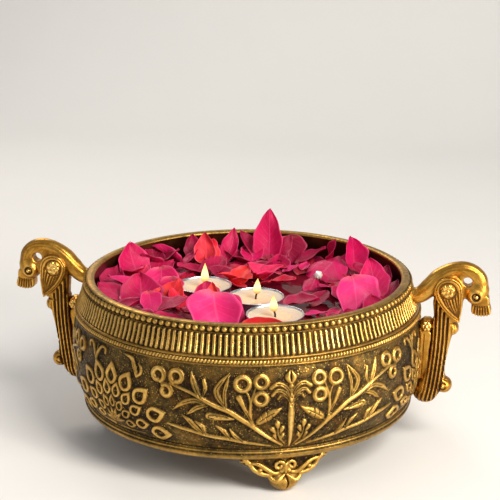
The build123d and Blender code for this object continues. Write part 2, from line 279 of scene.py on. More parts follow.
def draw_rings(r):
    """Three rings on stalks beside the stem, a bud, a veined leaf and a twig of five leaflets."""
    for centre, radius in (((-30.3, 80.2), 4.4), ((-18.6, 81.3), 3.8), ((-18.9, 70.4), 3.8)):
        r.ring(centre, radius, 1.75)
    r.stroke([(-22.5, 50.5), (-24.9, 55), (-25.6, 62), (-25, 69.3), (-22.3, 77.5)],
             [1.4, 1.3, 1.2, 0.9, 0.8])
    r.stroke([(-25.3, 67), (-26.6, 72.5), (-28.6, 76)], [0.9, 0.8, 0.8])
    r.stroke([(-25.5, 66), (-24.6, 71), (-22, 73.2)], [0.8, 0.8, 0.7])
    r.leaf([(-25, 56), (-28.4, 62.3), (-32.6, 71.2)], [0.9, 1.4, 2.1])
    r.stroke([(-23.5, 50.8), (-21.5, 53.2), (-19, 54.8)], [0.6, 0.6, 0.6])
    r.leaf([(-20, 55), (-15.8, 58), (-10.7, 60.9), (-5.8, 63.8)], [2.5, 3.6, 2.4, 0.3], 1.3)
    for root, tip in (((-18, 56.8), (-19, 60.4)), ((-15, 58.6), (-15.2, 62)), ((-16, 57.6), (-14.4, 54.6)),
                      ((-12.6, 59.6), (-11, 57.2))):
        r.carve([root, tip], 0.35, 0.6)
    r.stroke([(-2.5, 36.3), (-7.3, 43.9), (-8.4, 50.5)], [0.5, 0.8, 0.6])
    for u, v, size in ((-8.4, 53, 2.1), (-11.6, 49.4, 1.8), (-5.2, 49.8, 1.8), (-10.2, 44.8, 1.5),
                       (-4.8, 44.6, 1.4)):
        r.stroke([(0.4 * u - 4.6, v - 3.8), (0.7 * u - 2.3, v - 1.8), (u, v)], [0.5, 0.7 * size, size], 1.3)


def draw_stem(r):
    """Half the palmette stem over the foot; its mirror image is the other half."""
    r.stroke([(0, 35.5), (0, 52), (0, 64), (0, 72)], [0.7, 1.7, 2.1, 1.4], 1.8)
    r.carve([(-0.9, 44), (-1.0, 64)], 0.3, 0.4)
    r.leaf([(0, 70), (-1.8, 75.5), (-5.3, 78.8), (-9, 79.4), (-12.6, 77.2)], [1.0, 1.3, 1.6, 1.7, 1.6])
    r.leaf([(0, 65), (-2.4, 71.9), (-6, 75), (-9.2, 75.2), (-11.8, 72.4)], [0.9, 1.2, 1.5, 1.5, 1.3])
    r.leaf([(0, 67), (-3.4, 71.4), (-6.5, 71.9), (-8.2, 69.8)], [0.6, 1.0, 1.0, 0.8])
    r.stroke([(0, 72), (0, 76)], 1.0)
    r.dab(0, 78, 1.9, 1.4)
    r.stroke([(0, 80), (-1.7, 83.4), (-0.4, 87.6)], [1.4, 2.3, 0.5], 1.5)
    r.carve([(0, 81), (0, 86.5)], 0.35, 0.8)


def draw_swirls(r):
    """Three curled rings where the branch ends."""
    r.ring((-86, 81.3), 4.5, 1.8, -60, 330, 0.75)
    r.ring((-73, 81.8), 4.5, 1.8, 240, -330, 0.75)
    r.ring((-80.2, 71.4), 4.2, 1.7, 120, -330, 0.6)


def draw_tail(r):
    """Half of a spread peacock tail, centred where two repeats meet."""
    root = (-math.pi / SECTORS * FRIEZE_SCALE, 40.0)
    for angle, reach in ((0, 33.5), (24, 34.5), (47, 36.5), (70, 40.5), (90, 40.5)):
        r.feather(root, angle, reach, 15.5, 12.0)
    for angle, reach in ((12, 24), (35.5, 24.5), (58.5, 26), (81, 27)):
        r.feather(root, angle, reach, 11.5, 8.6)
    for angle, reach in ((0, 14.6), (30, 14.8), (58, 15.4), (86, 16)):
        r.feather(root, angle, reach, 9.8, 7.0, 1.1)
    for angle in (16, 48, 80):
        r.leaf([root, (root[0] + 5 * math.sin(math.radians(angle)),
                       root[1] + 5 * math.cos(math.radians(angle))),
                (root[0] + 10 * math.sin(math.radians(angle)),
                 root[1] + 10 * math.cos(math.radians(angle)))], [1.2, 1.7, 0.4])
    r.dab(root[0], root[1] + 1.5, 3.2, 1.3)
    r.stroke([(root[0] + 4.5, 35), (root[0] + 14, 35.2), (root[0] + 26, 35.8)], [1.1, 0.9, 0.5], 1.0)


def frieze_relief(u, v):
    """Heights of one whole repeat: the drawing, its mirror image, and what differs between them."""
    r = Relief(u, v)
    for draw in (draw_branch, draw_low_branch, draw_rings, draw_stem, draw_swirls, draw_tail):
        draw(r)
    half = r.heights()
    mirrored = np.roll(half[:, ::-1], 1, axis=1)
    both = np.where(u[None, :] <= 0, half, mirrored)
    extra = Relief(u, v)
    extra.stroke([(-114.5, 89), (-107.8, 87.4), (-104.4, 82), (-102.4, 76.8)], [0.4, 1.6, 1.5, 1.3])
    extra.carve([(-110, 87.4), (-105.8, 84.6), (-103.6, 79.5)], 0.35, 0.6)
    extra.stroke([(-102.4, 76.8), (-99.4, 79.2), (-99.5, 82.8), (-101.6, 85.2)], [1.3, 1.2, 0.9, 0.5])
    extra.stroke([(108.6, 77), (110, 83), (114, 87.6), (118, 87.2), (118.4, 84.4)],
                 [1.0, 1.4, 1.3, 1.1, 0.9])
    extra.stroke([(108.6, 77), (106, 83), (102, 87.8), (98.4, 87.2), (98.6, 84.6)],
                 [1.0, 1.4, 1.3, 1.1, 0.9])
    extra.stroke([(108.6, 75), (108.8, 82), (108.8, 88)], [1.2, 1.1, 0.4])
    return np.maximum(both, extra.heights())


# ---------------------------------------------------------------- the bowl

def profile(points, step):
    """Evenly spaced (radius, height) points on a smooth curve."""
    curve, _ = smooth_curve(points, step)
    length = arc_length(curve)
    count = max(3, int(round(length[-1] / step)) + 1)
    even = np.linspace(0, length[-1], count)
    curve = np.stack([np.interp(even, length, curve[:, k]) for k in (0, 1)], -1)
    return curve


def normals_of(curve):
    """Normals on the left hand of a curve that runs downwards, so pointing away from the axis."""
    run = np.gradient(curve, axis=0)
    run /= np.linalg.norm(run, axis=1)[:, None]
    return np.stack([-run[:, 1], run[:, 0]], -1)


def lathe(name, curve, angles, heights, material, wrap=False, **attributes):
    """A surface of revolution about Z, raised by heights (rows by columns) along its normals."""
    normal = normals_of(curve)
    radius = curve[:, :1] + normal[:, :1] * heights
    level = curve[:, 1:] + normal[:, 1:] * heights
    points = np.stack([radius * np.cos(angles), radius * np.sin(angles), level + 0 * radius],
                      -1).reshape(-1, 3)
    faces = grid_faces(len(curve), len(angles), wrap)[:, ::-1]
    return make_mesh(name, points, faces, material, **attributes)


def step_up(x, low, high):
    """0 below low, 1 above high, and smooth between."""
    t = np.clip((x - low) / (high - low), 0, 1)
    return t * t * (3 - 2 * t)


def bead_heights(angles, rows):
    pitch = 2 * math.pi * 110.6 / BEADS
    away = ((angles * BEADS / (2 * math.pi) + 0.5) % 1 - 0.5) * pitch
    size = 2.02
    dome = np.sqrt(np.clip(size**2 - away[None, :]**2 - (rows[:, None] - rows.mean())**2, 0, None))
    return 0.92 * dome


def flute_heights(angles, rows):
    """Upright ribs with dark gaps between, rounded off where they end."""
    wave = 0.5 + 0.5 * np.cos(angles * FLUTES)
    rib = np.clip((wave - 0.30) * 2.0, 0, 1)**0.7
    from_end = np.minimum(rows - rows[0], rows[-1] - rows)
    end = np.sqrt(np.clip(from_end / 1.3, 0, 1))
    return 1.05 * rib[None, :] * end[:, None]


def rope_heights(angles, rows):
    across = (rows - rows.mean()) / (0.5 * (rows[-1] - rows[0]))
    barrel = np.sqrt(np.clip(1 - across**2, 0, None))
    twist = 0.5 + 0.5 * np.cos(angles[None, :] * ROPE_TURNS + 1.1 * across[:, None])
    return barrel[:, None] * (0.35 + 0.75 * twist**0.6)


def bowl_rim(angles, material, name):
    """Lip, beads, flutes and rope: one sector of the bands above the frieze."""
    bands = [
        (profile([(104.5, 113.6), (104.7, 114.5), (106, 115.25), (107.5, 115.4), (109.2, 115.2),
                  (110.3, 114.4)], 0.5), None),
        (profile([(110.3, 114.35), (110.4, 112.4), (110.7, 110.3)], 0.33), bead_heights),
        (profile([(111.2, 110.1), (111.5, 109.9)], 0.3), None),
        (profile([(111.5, 109.8), (113.4, 103), (116, 96.6)], 0.6), flute_heights),
        (profile([(116.6, 96.5), (117.4, 96.0), (117.3, 95.3), (117.0, 95.0)], 0.3), None),
        (profile([(117.1, 94.9), (117.6, 93.5), (117.9, 92.1)], 0.28), rope_heights),
        (profile([(117.9, 92.0), (118.5, 91.6), (118.2, 91.2)], 0.25), None),
    ]
    curve = np.vstack([band for band, _ in bands])
    heights = []
    tone = []
    for band, shape in bands:
        rows = arc_length(band)
        raised = np.zeros((len(band), len(angles))) if shape is None else shape(angles, rows)
        heights.append(raised)
        # tone follows the height: dark patina in the gaps and rubbed gold on the crowns, which also serve
        # as painted shade in the gaps and a painted highlight on the crowns of beads, flutes and rope
        level = 0.5 if shape is None else 0.85 * raised / max(raised.max(), 0.1) - 0.03
        tone.append(np.clip(level + 0 * raised, 0, 1))
    return lathe(name, curve, angles, np.vstack(heights), material, tone=np.vstack(tone))


def bowl_frieze(angles, material, name):
    """One repeat of the frieze, from the rope to the base moulding."""
    curve = profile([(118.2, 91.2), (118.4, 90.6), (119.7, 84), (120.7, 76), (BELLY_RADIUS, 66),
                     (120.8, 56), (119.6, 47), (117.6, 40), (114.5, 35), (112.6, 33.4)], 0.4 / DETAIL)
    u = (np.arange(len(angles)) / (len(angles) - 1) - 0.5) * 2 * math.pi / SECTORS * FRIEZE_SCALE
    raised = frieze_relief(u, curve[:, 1])
    around = blur(raised, max(1, int(6 * DETAIL)))
    fade = (step_up(curve[:, 1], FRIEZE_FOOT, FRIEZE_FOOT + 1.5)
            * (1 - step_up(curve[:, 1], FRIEZE_TOP - 1.5, FRIEZE_TOP)))
    raised = raised * fade[:, None]
    wide = blur(raised, max(1, int(14 * DETAIL)))
    # tone: patina, dark on the ground and rubbed gold on the relief; raised - around adds painted shade
    # along the edges of the relief and a painted highlight on its crowns, and - wide adds painted shade on
    # ground crowded by relief
    tone = np.clip(0.21 + 0.25 * raised + 0.38 * (raised - around) - 0.14 * wide, 0, 1)
    sunk = RELIEF_SUNK * (0.25 + 0.75 * fade[:, None])
    return lathe(name, curve, angles, raised - sunk, material, tone=tone)


def bowl_base(angles, material):
    """The base moulding, a fine line over a thick roll with a groove between, and the plain underside."""
    ring = profile([(112.4, 33.4), (112.2, 32.6), (113.2, 31.4), (113.7, 29.5), (113.0, 27.4),
                    (111.2, 26.0), (109.9, 25.7)], 0.25)
    under = profile([(109.4, 25.5), (98, 24.2), (70, 22.4), (35, 21.3), (0.5, 21.0)], 3.0)
    curve = np.vstack([ring, under])
    across = np.linspace(0, 1, len(ring))
    groove = np.exp(-((across - 0.34) / 0.06)**2)
    crown = np.exp(-((across - 0.24) / 0.06)**2) + np.exp(-((across - 0.60) / 0.20)**2)
    tone = np.concatenate([0.22 + 0.34 * crown - 0.22 * groove, np.linspace(0.25, 0.35, len(under))])
    cut = np.concatenate([-0.55 * groove, np.zeros(len(under))])
    tone = np.repeat(tone[:, None], len(angles), axis=1)
    return lathe("bowl_base", curve, angles, cut[:, None] + 0 * tone, material, wrap=True, tone=tone)


def bowl_inside(angles, material):
    """The plain inner wall and floor."""
    curve = profile([(0.5, 25.0), (50, 26.2), (98, 30), (108, 36), (113, 42), (116.4, 51), (117.1, 60),
                     (117.2, 70), (116.9, 78), (115.4, 86), (113, 94), (110.9, 100), (108.5, 105),
                     (106, 110.6), (104.5, 113.6)], 2.0)
    return lathe("bowl_inside", curve, angles, np.zeros((len(curve), len(angles))), material, wrap=True)


def build_bowl(brass, inner_brass):
    whole = np.linspace(0, 2 * math.pi, 480, endpoint=False)
    made = [bowl_base(whole, brass), bowl_inside(whole, inner_brass)]
    for sector in range(SECTORS):
        middle = math.radians(FOOT_ANGLE + 360 / SECTORS * sector)
        span = np.linspace(-math.pi / SECTORS, math.pi / SECTORS, COLUMNS // SECTORS + 1)
        made.append(bowl_rim(middle + span, brass, "bowl_rim_%d" % sector))
        made.append(bowl_frieze(middle + span, brass, "bowl_frieze_%d" % sector))
    for thing in made:
        piece(thing, "bowl", "antiqued_brass", "bowl_shell")


# ---------------------------------------------------------------- cast forms from distance fields

class Casting:
    """A cast solid on a voxel grid, in millimetres; field is the distance to its skin, below 0 inside."""

    def __init__(self, low, high, voxel):
        self.voxel = voxel
        self.low = np.array(low, dtype=float)
        counts = [int((b - a) / voxel) + 2 for a, b in zip(low, high)]
        axes = [a + voxel * np.arange(n) for a, n in zip(low, counts)]
        self.axes = axes
        self.x = axes[0][:, None, None].astype(np.float32)
        self.y = axes[1][None, :, None].astype(np.float32)
        self.z = axes[2][None, None, :].astype(np.float32)
        self.field = np.full(counts, 20.0, dtype=np.float32)

    def near(self, centre, reach):
        """The part of the grid within reach of a point, as slices."""
        spans = []
        for axis, c, r in zip(self.axes, centre, np.broadcast_to(reach, 3)):
            first, last = np.searchsorted(axis, (c - r, c + r))
            spans.append(slice(first, max(first + 1, last)))
        return tuple(spans)

    def add(self, distance, soft=0.0, where=(slice(None), slice(None), slice(None))):
        """Joins a shape on, with a fillet of about soft."""
        here = self.field[where]
        if soft > 0:
            mix = np.clip(0.5 + 0.5 * (here - distance) / soft, 0, 1)
            self.field[where] = here * (1 - mix) + distance * mix - soft * mix * (1 - mix)
        else:
            self.field[where] = np.minimum(here, distance)

    def remove(self, distance, soft=0.0, where=(slice(None), slice(None), slice(None))):
        here = self.field[where]
        if soft > 0:
            mix = np.clip(0.5 - 0.5 * (here + distance) / soft, 0, 1)
            self.field[where] = here * (1 - mix) - distance * mix + soft * mix * (1 - mix)
        else:
            self.field[where] = np.maximum(here, -distance)

    def ball(self, centre, radii, soft=1.0):
        """An ellipsoid."""
        radii = np.broadcast_to(np.asarray(radii, dtype=np.float32), 3)
        where = self.near(centre, radii + 4 + soft)
        away = [(a - c) for a, c in zip(self.part(where), centre)]
        k0 = np.sqrt(sum((a / r)**2 for a, r in zip(away, radii)))
        k1 = np.sqrt(sum((a / r**2)**2 for a, r in zip(away, radii))) + 1e-6
        self.add((k0 * (k0 - 1) / k1).astype(np.float32), soft, where)

    def part(self, where):
        return self.x[where[0]], self.y[:, where[1]], self.z[:, :, where[2]]

    def tube(self, points, radii, soft=1.0, flat=1.0):
        """A round bar of changing radius along a smooth curve; flat scales its thickness along Y."""
        curve, along = smooth_curve(points, 1.2)
        radii = np.interp(along, np.linspace(0, 1, len(radii)), radii)
        reach = radii.max() + 4 + soft
        low, high = curve.min(axis=0) - reach, curve.max(axis=0) + reach
        where = self.near((low + high) / 2, (high - low) / 2)
        x, y, z = self.part(where)
        best = np.full(self.field[where].shape, 20.0, dtype=np.float32)
        for a, b, ra, rb in zip(curve, curve[1:], radii, radii[1:]):
            run = b - a
            t = ((x - a[0]) * run[0] + (y - a[1]) * run[1] + (z - a[2]) * run[2]) / max(run @ run, 1e-6)
            t = np.clip(t, 0, 1)
            d = np.sqrt((x - a[0] - t * run[0])**2 + ((y - a[1] - t * run[1]) / flat)**2
                        + (z - a[2] - t * run[2])**2)
            np.minimum(best, d - (ra + (rb - ra) * t), out=best)
        self.add(best, soft, where)

    def slab(self, outline, half, rounding, soft=1.0, middle=0.0):
        """A cushion with a smooth outline in X and Z, half thick to each side of y = middle."""
        closed = np.asarray(list(outline) + [outline[0]], dtype=float)
        flat = outline_distance(closed, self.axes[0], self.axes[2])[:, None, :]
        across = flat + rounding
        through = np.abs(self.y - middle) - half + rounding
        outside = np.sqrt(np.clip(across, 0, None)**2 + np.clip(through, 0, None)**2)
        self.add((outside + np.minimum(np.maximum(across, through), 0) - rounding).astype(np.float32), soft)

    def convexity(self, points, reach):
        """How far the skin stands out of its surroundings, in millimetres; below 0 in a groove."""
        field = np.clip(self.field, -reach, reach)
        step = max(1, int(reach / self.voxel))
        for axis in range(3):
            field = box_blur(field, step, axis)
        place = np.clip(((points - self.low) / self.voxel + 0.5).astype(int), 0, np.array(field.shape) - 1)
        return field[place[:, 0], place[:, 1], place[:, 2]]

    def engrave(self, relief, weight):
        """Raises or sinks the skin by a relief drawn over X and Z, times a weight from 0 to 1."""
        self.field -= (relief.heights().T[:, None, :] * weight).astype(np.float32)

    def mesh(self):
        """The skin as points in millimetres and quads."""
        grid = openvdb.FloatGrid(background=20.0)
        grid.copyFromArray(np.ascontiguousarray(self.field))
        points, quads = grid.convertToQuads(isovalue=0.0)
        points = points * self.voxel + self.low
        return points, facing_out(points, quads.astype(np.int32))


def box_blur(field, step, axis):
    pad = [(0, 0)] * 3
    pad[axis] = (step + 1, step)
    total = np.cumsum(np.pad(field, pad, mode="edge"), axis=axis, dtype=np.float64)
    width = 2 * step + 1
    ahead = [slice(None)] * 3
    behind = [slice(None)] * 3
    ahead[axis] = slice(width, None)
    behind[axis] = slice(None, -width)
    return (total[tuple(ahead)] - total[tuple(behind)]) / width


def facing_out(points, quads):
    """The faces of a closed surface, turned over if they face inwards."""
    a, b, c = (points[quads[:, k]] for k in (0, 1, 2))
    volume = np.einsum("ij,ij->i", a, np.cross(b, c)).sum()
    return quads if volume > 0 else quads[:, ::-1]


def outline_distance(closed, across, up):
    """Signed distance from each point of a flat grid to a closed outline, below 0 inside."""
    curve, _ = smooth_curve(closed, 1.0)
    px = across[:, None]
    pz = up[None, :]
    best = np.full((len(across), len(up)), 1e6)
    inside = np.zeros(best.shape, dtype=bool)
    for (ax, az), (bx, bz) in zip(curve, np.roll(curve, -1, axis=0)):
        ex, ez = bx - ax, bz - az
        t = np.clip(((px - ax) * ex + (pz - az) * ez) / max(ex * ex + ez * ez, 1e-9), 0, 1)
        np.minimum(best, (px - ax - t * ex)**2 + (pz - az - t * ez)**2, out=best)
        if az != bz:
            crosses = ((az > pz) != (bz > pz)) & (px < ax + (pz - az) * ex / ez)
            inside ^= crosses
    return np.where(inside, -1, 1) * np.sqrt(best)


def sample(field, across, up, u, v):
    """Values of a flat field (rows up, columns across) at points u, v."""
    j = np.clip(np.searchsorted(across, u), 0, len(across) - 1)
    i = np.clip(np.searchsorted(up, v), 0, len(up) - 1)
    return field[i, j]


def outer_radius(z):
    """Radius of the bowl's outside at a height."""
    levels = [21.0, 25.6, 29.5, 33.2, 35, 41, 52, 66, 80, 91, 95.4, 97, 109.8, 114.4, 116]
    radii = [80, 110, 113.2, 112.2, 114.3, 117.8, 120.2, 120.6, 120, 118, 117, 115.6, 111.5, 110.2, 108]
    return np.interp(z, levels, radii)


# ---------------------------------------------------------------- the peacock handle

EYE = (155.2, 108.9)             # places on the handle, as (distance from the axis, height)
NECK_HOLE = (149.3, 118.3)
SHOULDER_ROSETTE = (136.6, 112.4)
PILASTER_ROSETTE = (123.2, 86.2)
PAW_SPIRAL = (135.2, 44.0)


def handle_forms(c):
    """The smooth masses: arched neck, head, breast, column, pilaster, knob and paw."""
    c.slab([(126.8, 103), (129, 112), (131.6, 119), (138.5, 122.5), (145, 119), (147.2, 110), (146.4, 101),
            (145.3, 93), (143.0, 89.4), (138.8, 87.6), (137.6, 81), (136, 74), (131, 72), (127.4, 76),
            (127.8, 90)],
           6.4, 4.5, 0.5)
    c.slab([(141, 121), (146, 124.5), (152, 124), (156, 118), (153, 112), (148, 106.6), (145, 107),
            (144, 114)], 4.0, 2.0, 1.0)
    c.slab([(126.6, 84), (127.8, 92), (136, 93), (142.4, 88), (139.4, 76), (137.5, 66), (136, 54),
            (136.6, 46), (133, 38), (122, 34), (118.5, 44), (123.4, 55), (125.8, 70)], 6.3, 3.6, 1.0)
    c.slab([(112, 47), (112, 81), (126.2, 81.5), (125.6, 68), (124, 50)], 4.6, 1.6, 0.6)
    c.tube([(111, 0, 105.6), (118, 0, 106.6), (124.6, 0, 112.8), (130.4, 0, 119.6), (137, 0, 124.4),
            (145, 0, 126.6), (152, 0, 124.8), (156.8, 0, 120), (158.2, 0, 113)],
           [5.4, 5.6, 6.2, 6.0, 5.0, 4.7, 4.9, 5.2, 5.0], 2.0)
    c.ball((155.4, 0, 109.8), (7.7, 6.9, 8.0), 2.5)
    c.slab([(153.0, 107), (152.2, 100), (153.0, 96.5), (155.8, 95.0), (160, 94.8), (164.4, 95.8),
            (165.4, 98.6), (164.2, 103), (162.6, 109)], 4.6, 1.2, 1.0)
    c.ball((136.2, 0, 43.6), (5.2, 6.4, 5.6), 1.2)
    c.ball((140.6, 0, 84.6), (4.0, 6.2, 4.7), 0.4)
    c.ball((123.4, 0, 38.2), (8.6, 8.0, 8.2), 2.5)
    c.ball((123.2, 0, 86.2), (5.2, 6.2, 5.0), 0.8)
    for side in (-1, 1):
        c.slab([(145.1, 90.0), (137.6, 95.4), (132.2, 101.3), (128.5, 108), (127.9, 114), (131.4, 119.6),
                (137, 121.4), (142.6, 119.6), (146, 114.6), (146.6, 105),
                (146, 97)], 1.8, 1.0, 0.3, middle=side * 6.5)
        c.ball((154.9, side * 4.2, 108.9), (5.6, 3.6, 5.6), 0.6)


def handle_lines(c):
    """What is engraved or raised on both cheeks of the handle."""
    r = Relief(c.axes[0], c.axes[2])
    for offset, width in ((0.0, 0.55), (1.9, 0.45)):
        r.carve([(114 + offset, 109.4 - offset), (121 + offset, 115.2 - offset), (129, 122.4 - offset),
                 (137.5, 127.6 - offset), (146.5, 128.9 - offset), (153.6, 127.0 - offset),
                 (158.8 - offset, 122.6 - offset), (160.6 - offset, 116)], width, 0.35)
    r.carve([(145.1, 91.6), (137.9, 96.8), (132.9, 102.3), (129.6, 108.3), (129.2, 113.6), (132.4, 118.5),
             (137.2, 120.1), (142, 118.3), (144.9, 113.8), (145.3, 105), (144.9, 97)], 0.45, 1.3)
    r.carve([(144.4, 93.4), (139.0, 98.2), (134.9, 103.2), (132.0, 108.6), (131.9, 112.8)], 0.5, 1.4)
    for start, bend in (((133.4, 107.2), (136.6, 100.9)), ((135.4, 106.0), (138.4, 100.0)),
                        ((137.4, 106.0), (140.1, 99.6)), ((139.4, 107.2), (141.7, 100.0)),
                        ((141.3, 109.4), (143.0, 101.0)), ((143.0, 112.6), (144.1, 102.6))):
        r.carve([start, bend, (143.6 + 0.1 * (start[0] - 138), 94.6)], 0.5, 1.5)
    for turn in range(6):
        angle = math.radians(60 * turn + 15)
        r.dab(SHOULDER_ROSETTE[0] + 3.0 * math.cos(angle), SHOULDER_ROSETTE[1] + 3.0 * math.sin(angle),
              1.8, 1.1)
        angle = math.radians(60 * turn)
        r.dab(PILASTER_ROSETTE[0] + 2.9 * math.cos(angle), PILASTER_ROSETTE[1] + 2.9 * math.sin(angle),
              1.6, 1.3)
    r.dab(*SHOULDER_ROSETTE, 1.5, 1.2)
    r.dab(*PILASTER_ROSETTE, 1.5, 1.5)
    r.carve(arc(SHOULDER_ROSETTE, 5.6, 0, 360), 0.5, 1.3)
    for at in range(6):
        r.carve([(154.6 + 1.6 * at, 102.0), (154.2 + 1.95 * at, 95.0)], 0.5, 1.5)
    r.carve([(153.0, 102.6), (158.0, 101.0), (164.2, 103.6)], 0.4, 0.9)
    for at, height in enumerate((104, 100, 96.5, 93)):
        top = 129.4 + 2.6 * at
        r.carve([(top, height), (top - 0.7, 72), (top - 3.0, 48), (top - 5.6, 33)], 0.75, 1.8)
    r.carve([(126.9, 90), (126.7, 74), (124.4, 52), (121.6, 36)], 0.5, 1.1)
    r.carve([(121.4, 80), (121.0, 64), (120.4, 50)], 0.45, 0.7)
    for at in range(3):
        r.carve([(118.4 + 3.0 * at, 38.5), (118.0 + 2.6 * at, 30)], 0.6, 1.3)
        r.carve([(137.2 + 2.4 * at, 87.0), (137.8 + 2.2 * at, 77.5)], 0.4, 0.7)
    r.carve([(131.8, 49.5), (131.2, 43.8), (133.6, 38.2)], 0.6, 1.4)
    r.carve(arc(PAW_SPIRAL, 2.3, 40, 300), 0.55, 1.3)
    r.dab(*PAW_SPIRAL, 1.2, 0.8)
    r.carve([(134.2, 49.2), (138.2, 47.6)], 0.4, 0.6)
    r.carve([(135.0, 88.6), (141, 89.2), (145.4, 90.2)], 0.5, 0.9)
    return r


def build_handle_mesh():
    """Points, quads and tone of the right-hand handle."""
    c = Casting((107, -10.4, 27.5), (168.4, 10.4, 134), 0.42 / DETAIL**0.5)
    handle_forms(c)
    lines = handle_lines(c)
    cheek = step_up(np.abs(c.y), 1.0, 3.2)
    c.engrave(lines, cheek)
    x, y, z = c.x, c.y, c.z
    c.remove(np.sqrt((x - NECK_HOLE[0])**2 + (z - NECK_HOLE[1])**2) - 3.2, 0.8)
    for side in (-1, 1):
        c.remove(np.sqrt((x - EYE[0])**2 + (y - side * 8.6)**2 + ((z - EYE[1]) * 1.1)**2) - 3.4, 0.8)
        c.ball((155.6, side * 6.1, 108.7), 1.5, 0.1)
    wall = outer_radius(z) - 0.9
    c.remove(np.sqrt(x**2 + y**2) - wall)
    points, quads = c.mesh()
    height = sample(lines.heights(), c.axes[0], c.axes[2], points[:, 0], points[:, 2])
    on_cheek = step_up(np.abs(points[:, 1]), 1.0, 3.2)
    # painted shade: the handle is darker towards its lower part, from a height of 60 mm down to 30 mm
    under = step_up(-points[:, 2], -60, -30)
    # painted shade in hollows and a painted highlight on what stands out, from how far the skin stands out
    # of its surroundings
    painted_light_and_shade = 0.30 * c.convexity(points, 1.6) + 0.10 * c.convexity(points, 4.0)
    tone = np.clip(0.60 + 0.42 * height * on_cheek + painted_light_and_shade - 0.10 * under, 0, 1)
    from_eye = np.hypot(points[:, 0] - EYE[0], points[:, 2] - EYE[1])
    at_eye = (from_eye < 3.0) & (np.abs(points[:, 1]) > 4.2)
    # a painted highlight on the bead in the eye, and painted shade, near black, in the socket round it
    tone = np.where(at_eye, np.where(from_eye < 1.5, 1.0, 0.02), tone)
    return points, quads, tone


def build_handles(brass):
    points, quads, tone = build_handle_mesh()
    for word, sign in (("right", 1), ("left", -1)):
        turned = points * (sign, sign, 1)
        thing = make_mesh(word + "_peacock", turned, quads, brass, tone=tone)
        piece(thing, "bowl", "golden_brass", word + "_peacock_handle")


# ---------------------------------------------------------------- the scroll feet

APRON_RADIUS = 105.0             # the apron follows a circle of this radius


def foot_forms(c):
    """A foot unrolled: X round the bowl, Y outwards from the sole's middle, Z up."""
    for side in (-1, 1):
        c.slab([(0, 10), (side * 9, 12.0), (side * 13, 14.2), (side * 21, 17.0), (side * 28.4, 21.6),
                (side * 28.8, 24.6), (side * 22, 27.5), (0, 27.5)], 1.6, 0.8, 0.4, middle=4.4)
        c.tube([(side * 2.0, 6.6, 15.2), (side * 6.6, 7.0, 13.9), (side * 11.4, 6.8, 16.8),
                (side * 16.4, 6.4, 20.2), (side * 20.8, 6.2, 21.4),
                (side * 24.6, 6.2, 21.0)], [1.0, 1.5, 1.7, 1.6, 1.4, 0.9], 0.5)
        c.tube([(side * 9.6, 6.6, 12.8), (side * 14.2, 6.6, 13.6), (side * 19.4, 6.4, 16.4),
                (side * 21.6, 6.2, 19.4), (side * 24.4, 6.2, 22.6),
                (side * 28.2, 6.0, 22.2)], [1.4, 1.5, 1.5, 1.4, 1.6, 0.7], 0.5)
        c.tube([(side * 24.4, 6.2, 23.4), (side * 27.0, 6.2, 24.8), (side * 29.2, 6.0, 24.4)],
               [1.2, 1.2, 0.6], 0.4)
        c.ball((side * 16.0, 6.4, 16.6), (1.9, 1.6, 1.5), 0.3)
        volute = [(side * (3.9 + x), 7.3, 19.2 + z) for x, z in arc((0, 0), 3.9, 250, -400, 0.3)]
        c.tube(volute, [1.4, 1.3, 1.15, 1.0], 0.2)
        c.ball((side * 4.2, 1.2, 8.6), (5.8, 8.4, 6.6), 1.0)
        c.tube([(side * 1.0, 7.4, 12.8), (side * 5.6, 8.6, 9.2), (side * 9.4, 6.8, 10.8),
                (side * 11.0, 4.6, 14.2)],
               [0.8, 1.5, 1.5, 1.0], 0.7)
    c.ball((0, 0.6, 6.0), (7.0, 8.0, 6.2), 2.0)
    c.ball((0, 1.0, 18.0), (7.4, 6.4, 9.0), 1.5)
    c.tube([(0, 8.4, 20.5), (0, 8.2, 15.0)], [0.9, 0.8], 0.4)


def build_foot_mesh():
    """Points, quads and tone of a foot at angle 0."""
    c = Casting((-30.6, -10, -1.0), (30.6, 11.4, 27.4), 0.36 / DETAIL**0.5)
    foot_forms(c)
    x, y, z = c.x, c.y, c.z
    seam = np.sqrt((x - 1.5 * np.sin((z - 2) / 3.2))**2 + (np.clip(z - 11.5, 0, None))**2) - 0.38
    c.remove(np.maximum(seam, 7.0 - y), 0.6)
    c.remove(z + 0 * x)
    top = np.interp(np.clip(APRON_RADIUS - 5 + y, 0, None), [0, 98, 109.4, 111, 114],
                    [24.0, 24.9, 26.2, 26.9, 29.5])
    c.remove(top - z + 0 * x)
    points, quads = c.mesh()
    # painted shade in hollows and a painted highlight on what stands out, from how far the skin stands out
    # of its surroundings; the back plate behind the scrolls is made darker
    painted_light_and_shade = 0.55 * c.convexity(points, 1.3) + 0.16 * c.convexity(points, 3.0)
    ground = (1 - step_up(points[:, 1], 5.9, 7.4)) * step_up(points[:, 2], 11, 14)
    tone = np.clip(0.48 + painted_light_and_shade - 0.42 * ground, 0.02, 1)
    angle = points[:, 0] / APRON_RADIUS
    radius = APRON_RADIUS - 5 + points[:, 1]
    return np.stack([radius * np.cos(angle), radius * np.sin(angle), points[:, 2]], -1), quads, tone


def build_feet(brass):
    points, quads, tone = build_foot_mesh()
    for sector, node in enumerate(("front_foot", "back_foot", "left_foot")):
        turn = math.radians(FOOT_ANGLE + 360 / SECTORS * sector)
        spin = np.array(Matrix.Rotation(turn, 3, "Z"))
        thing = make_mesh("scroll_" + node, points @ spin.T, quads, brass, tone=tone)
        piece(thing, "bowl", "antiqued_brass", node)


# ---------------------------------------------------------------- tealights and water

TEALIGHTS = (1, 2, 3)


def middle_of(node):
    return (upper(node) + lower(node)) / 2


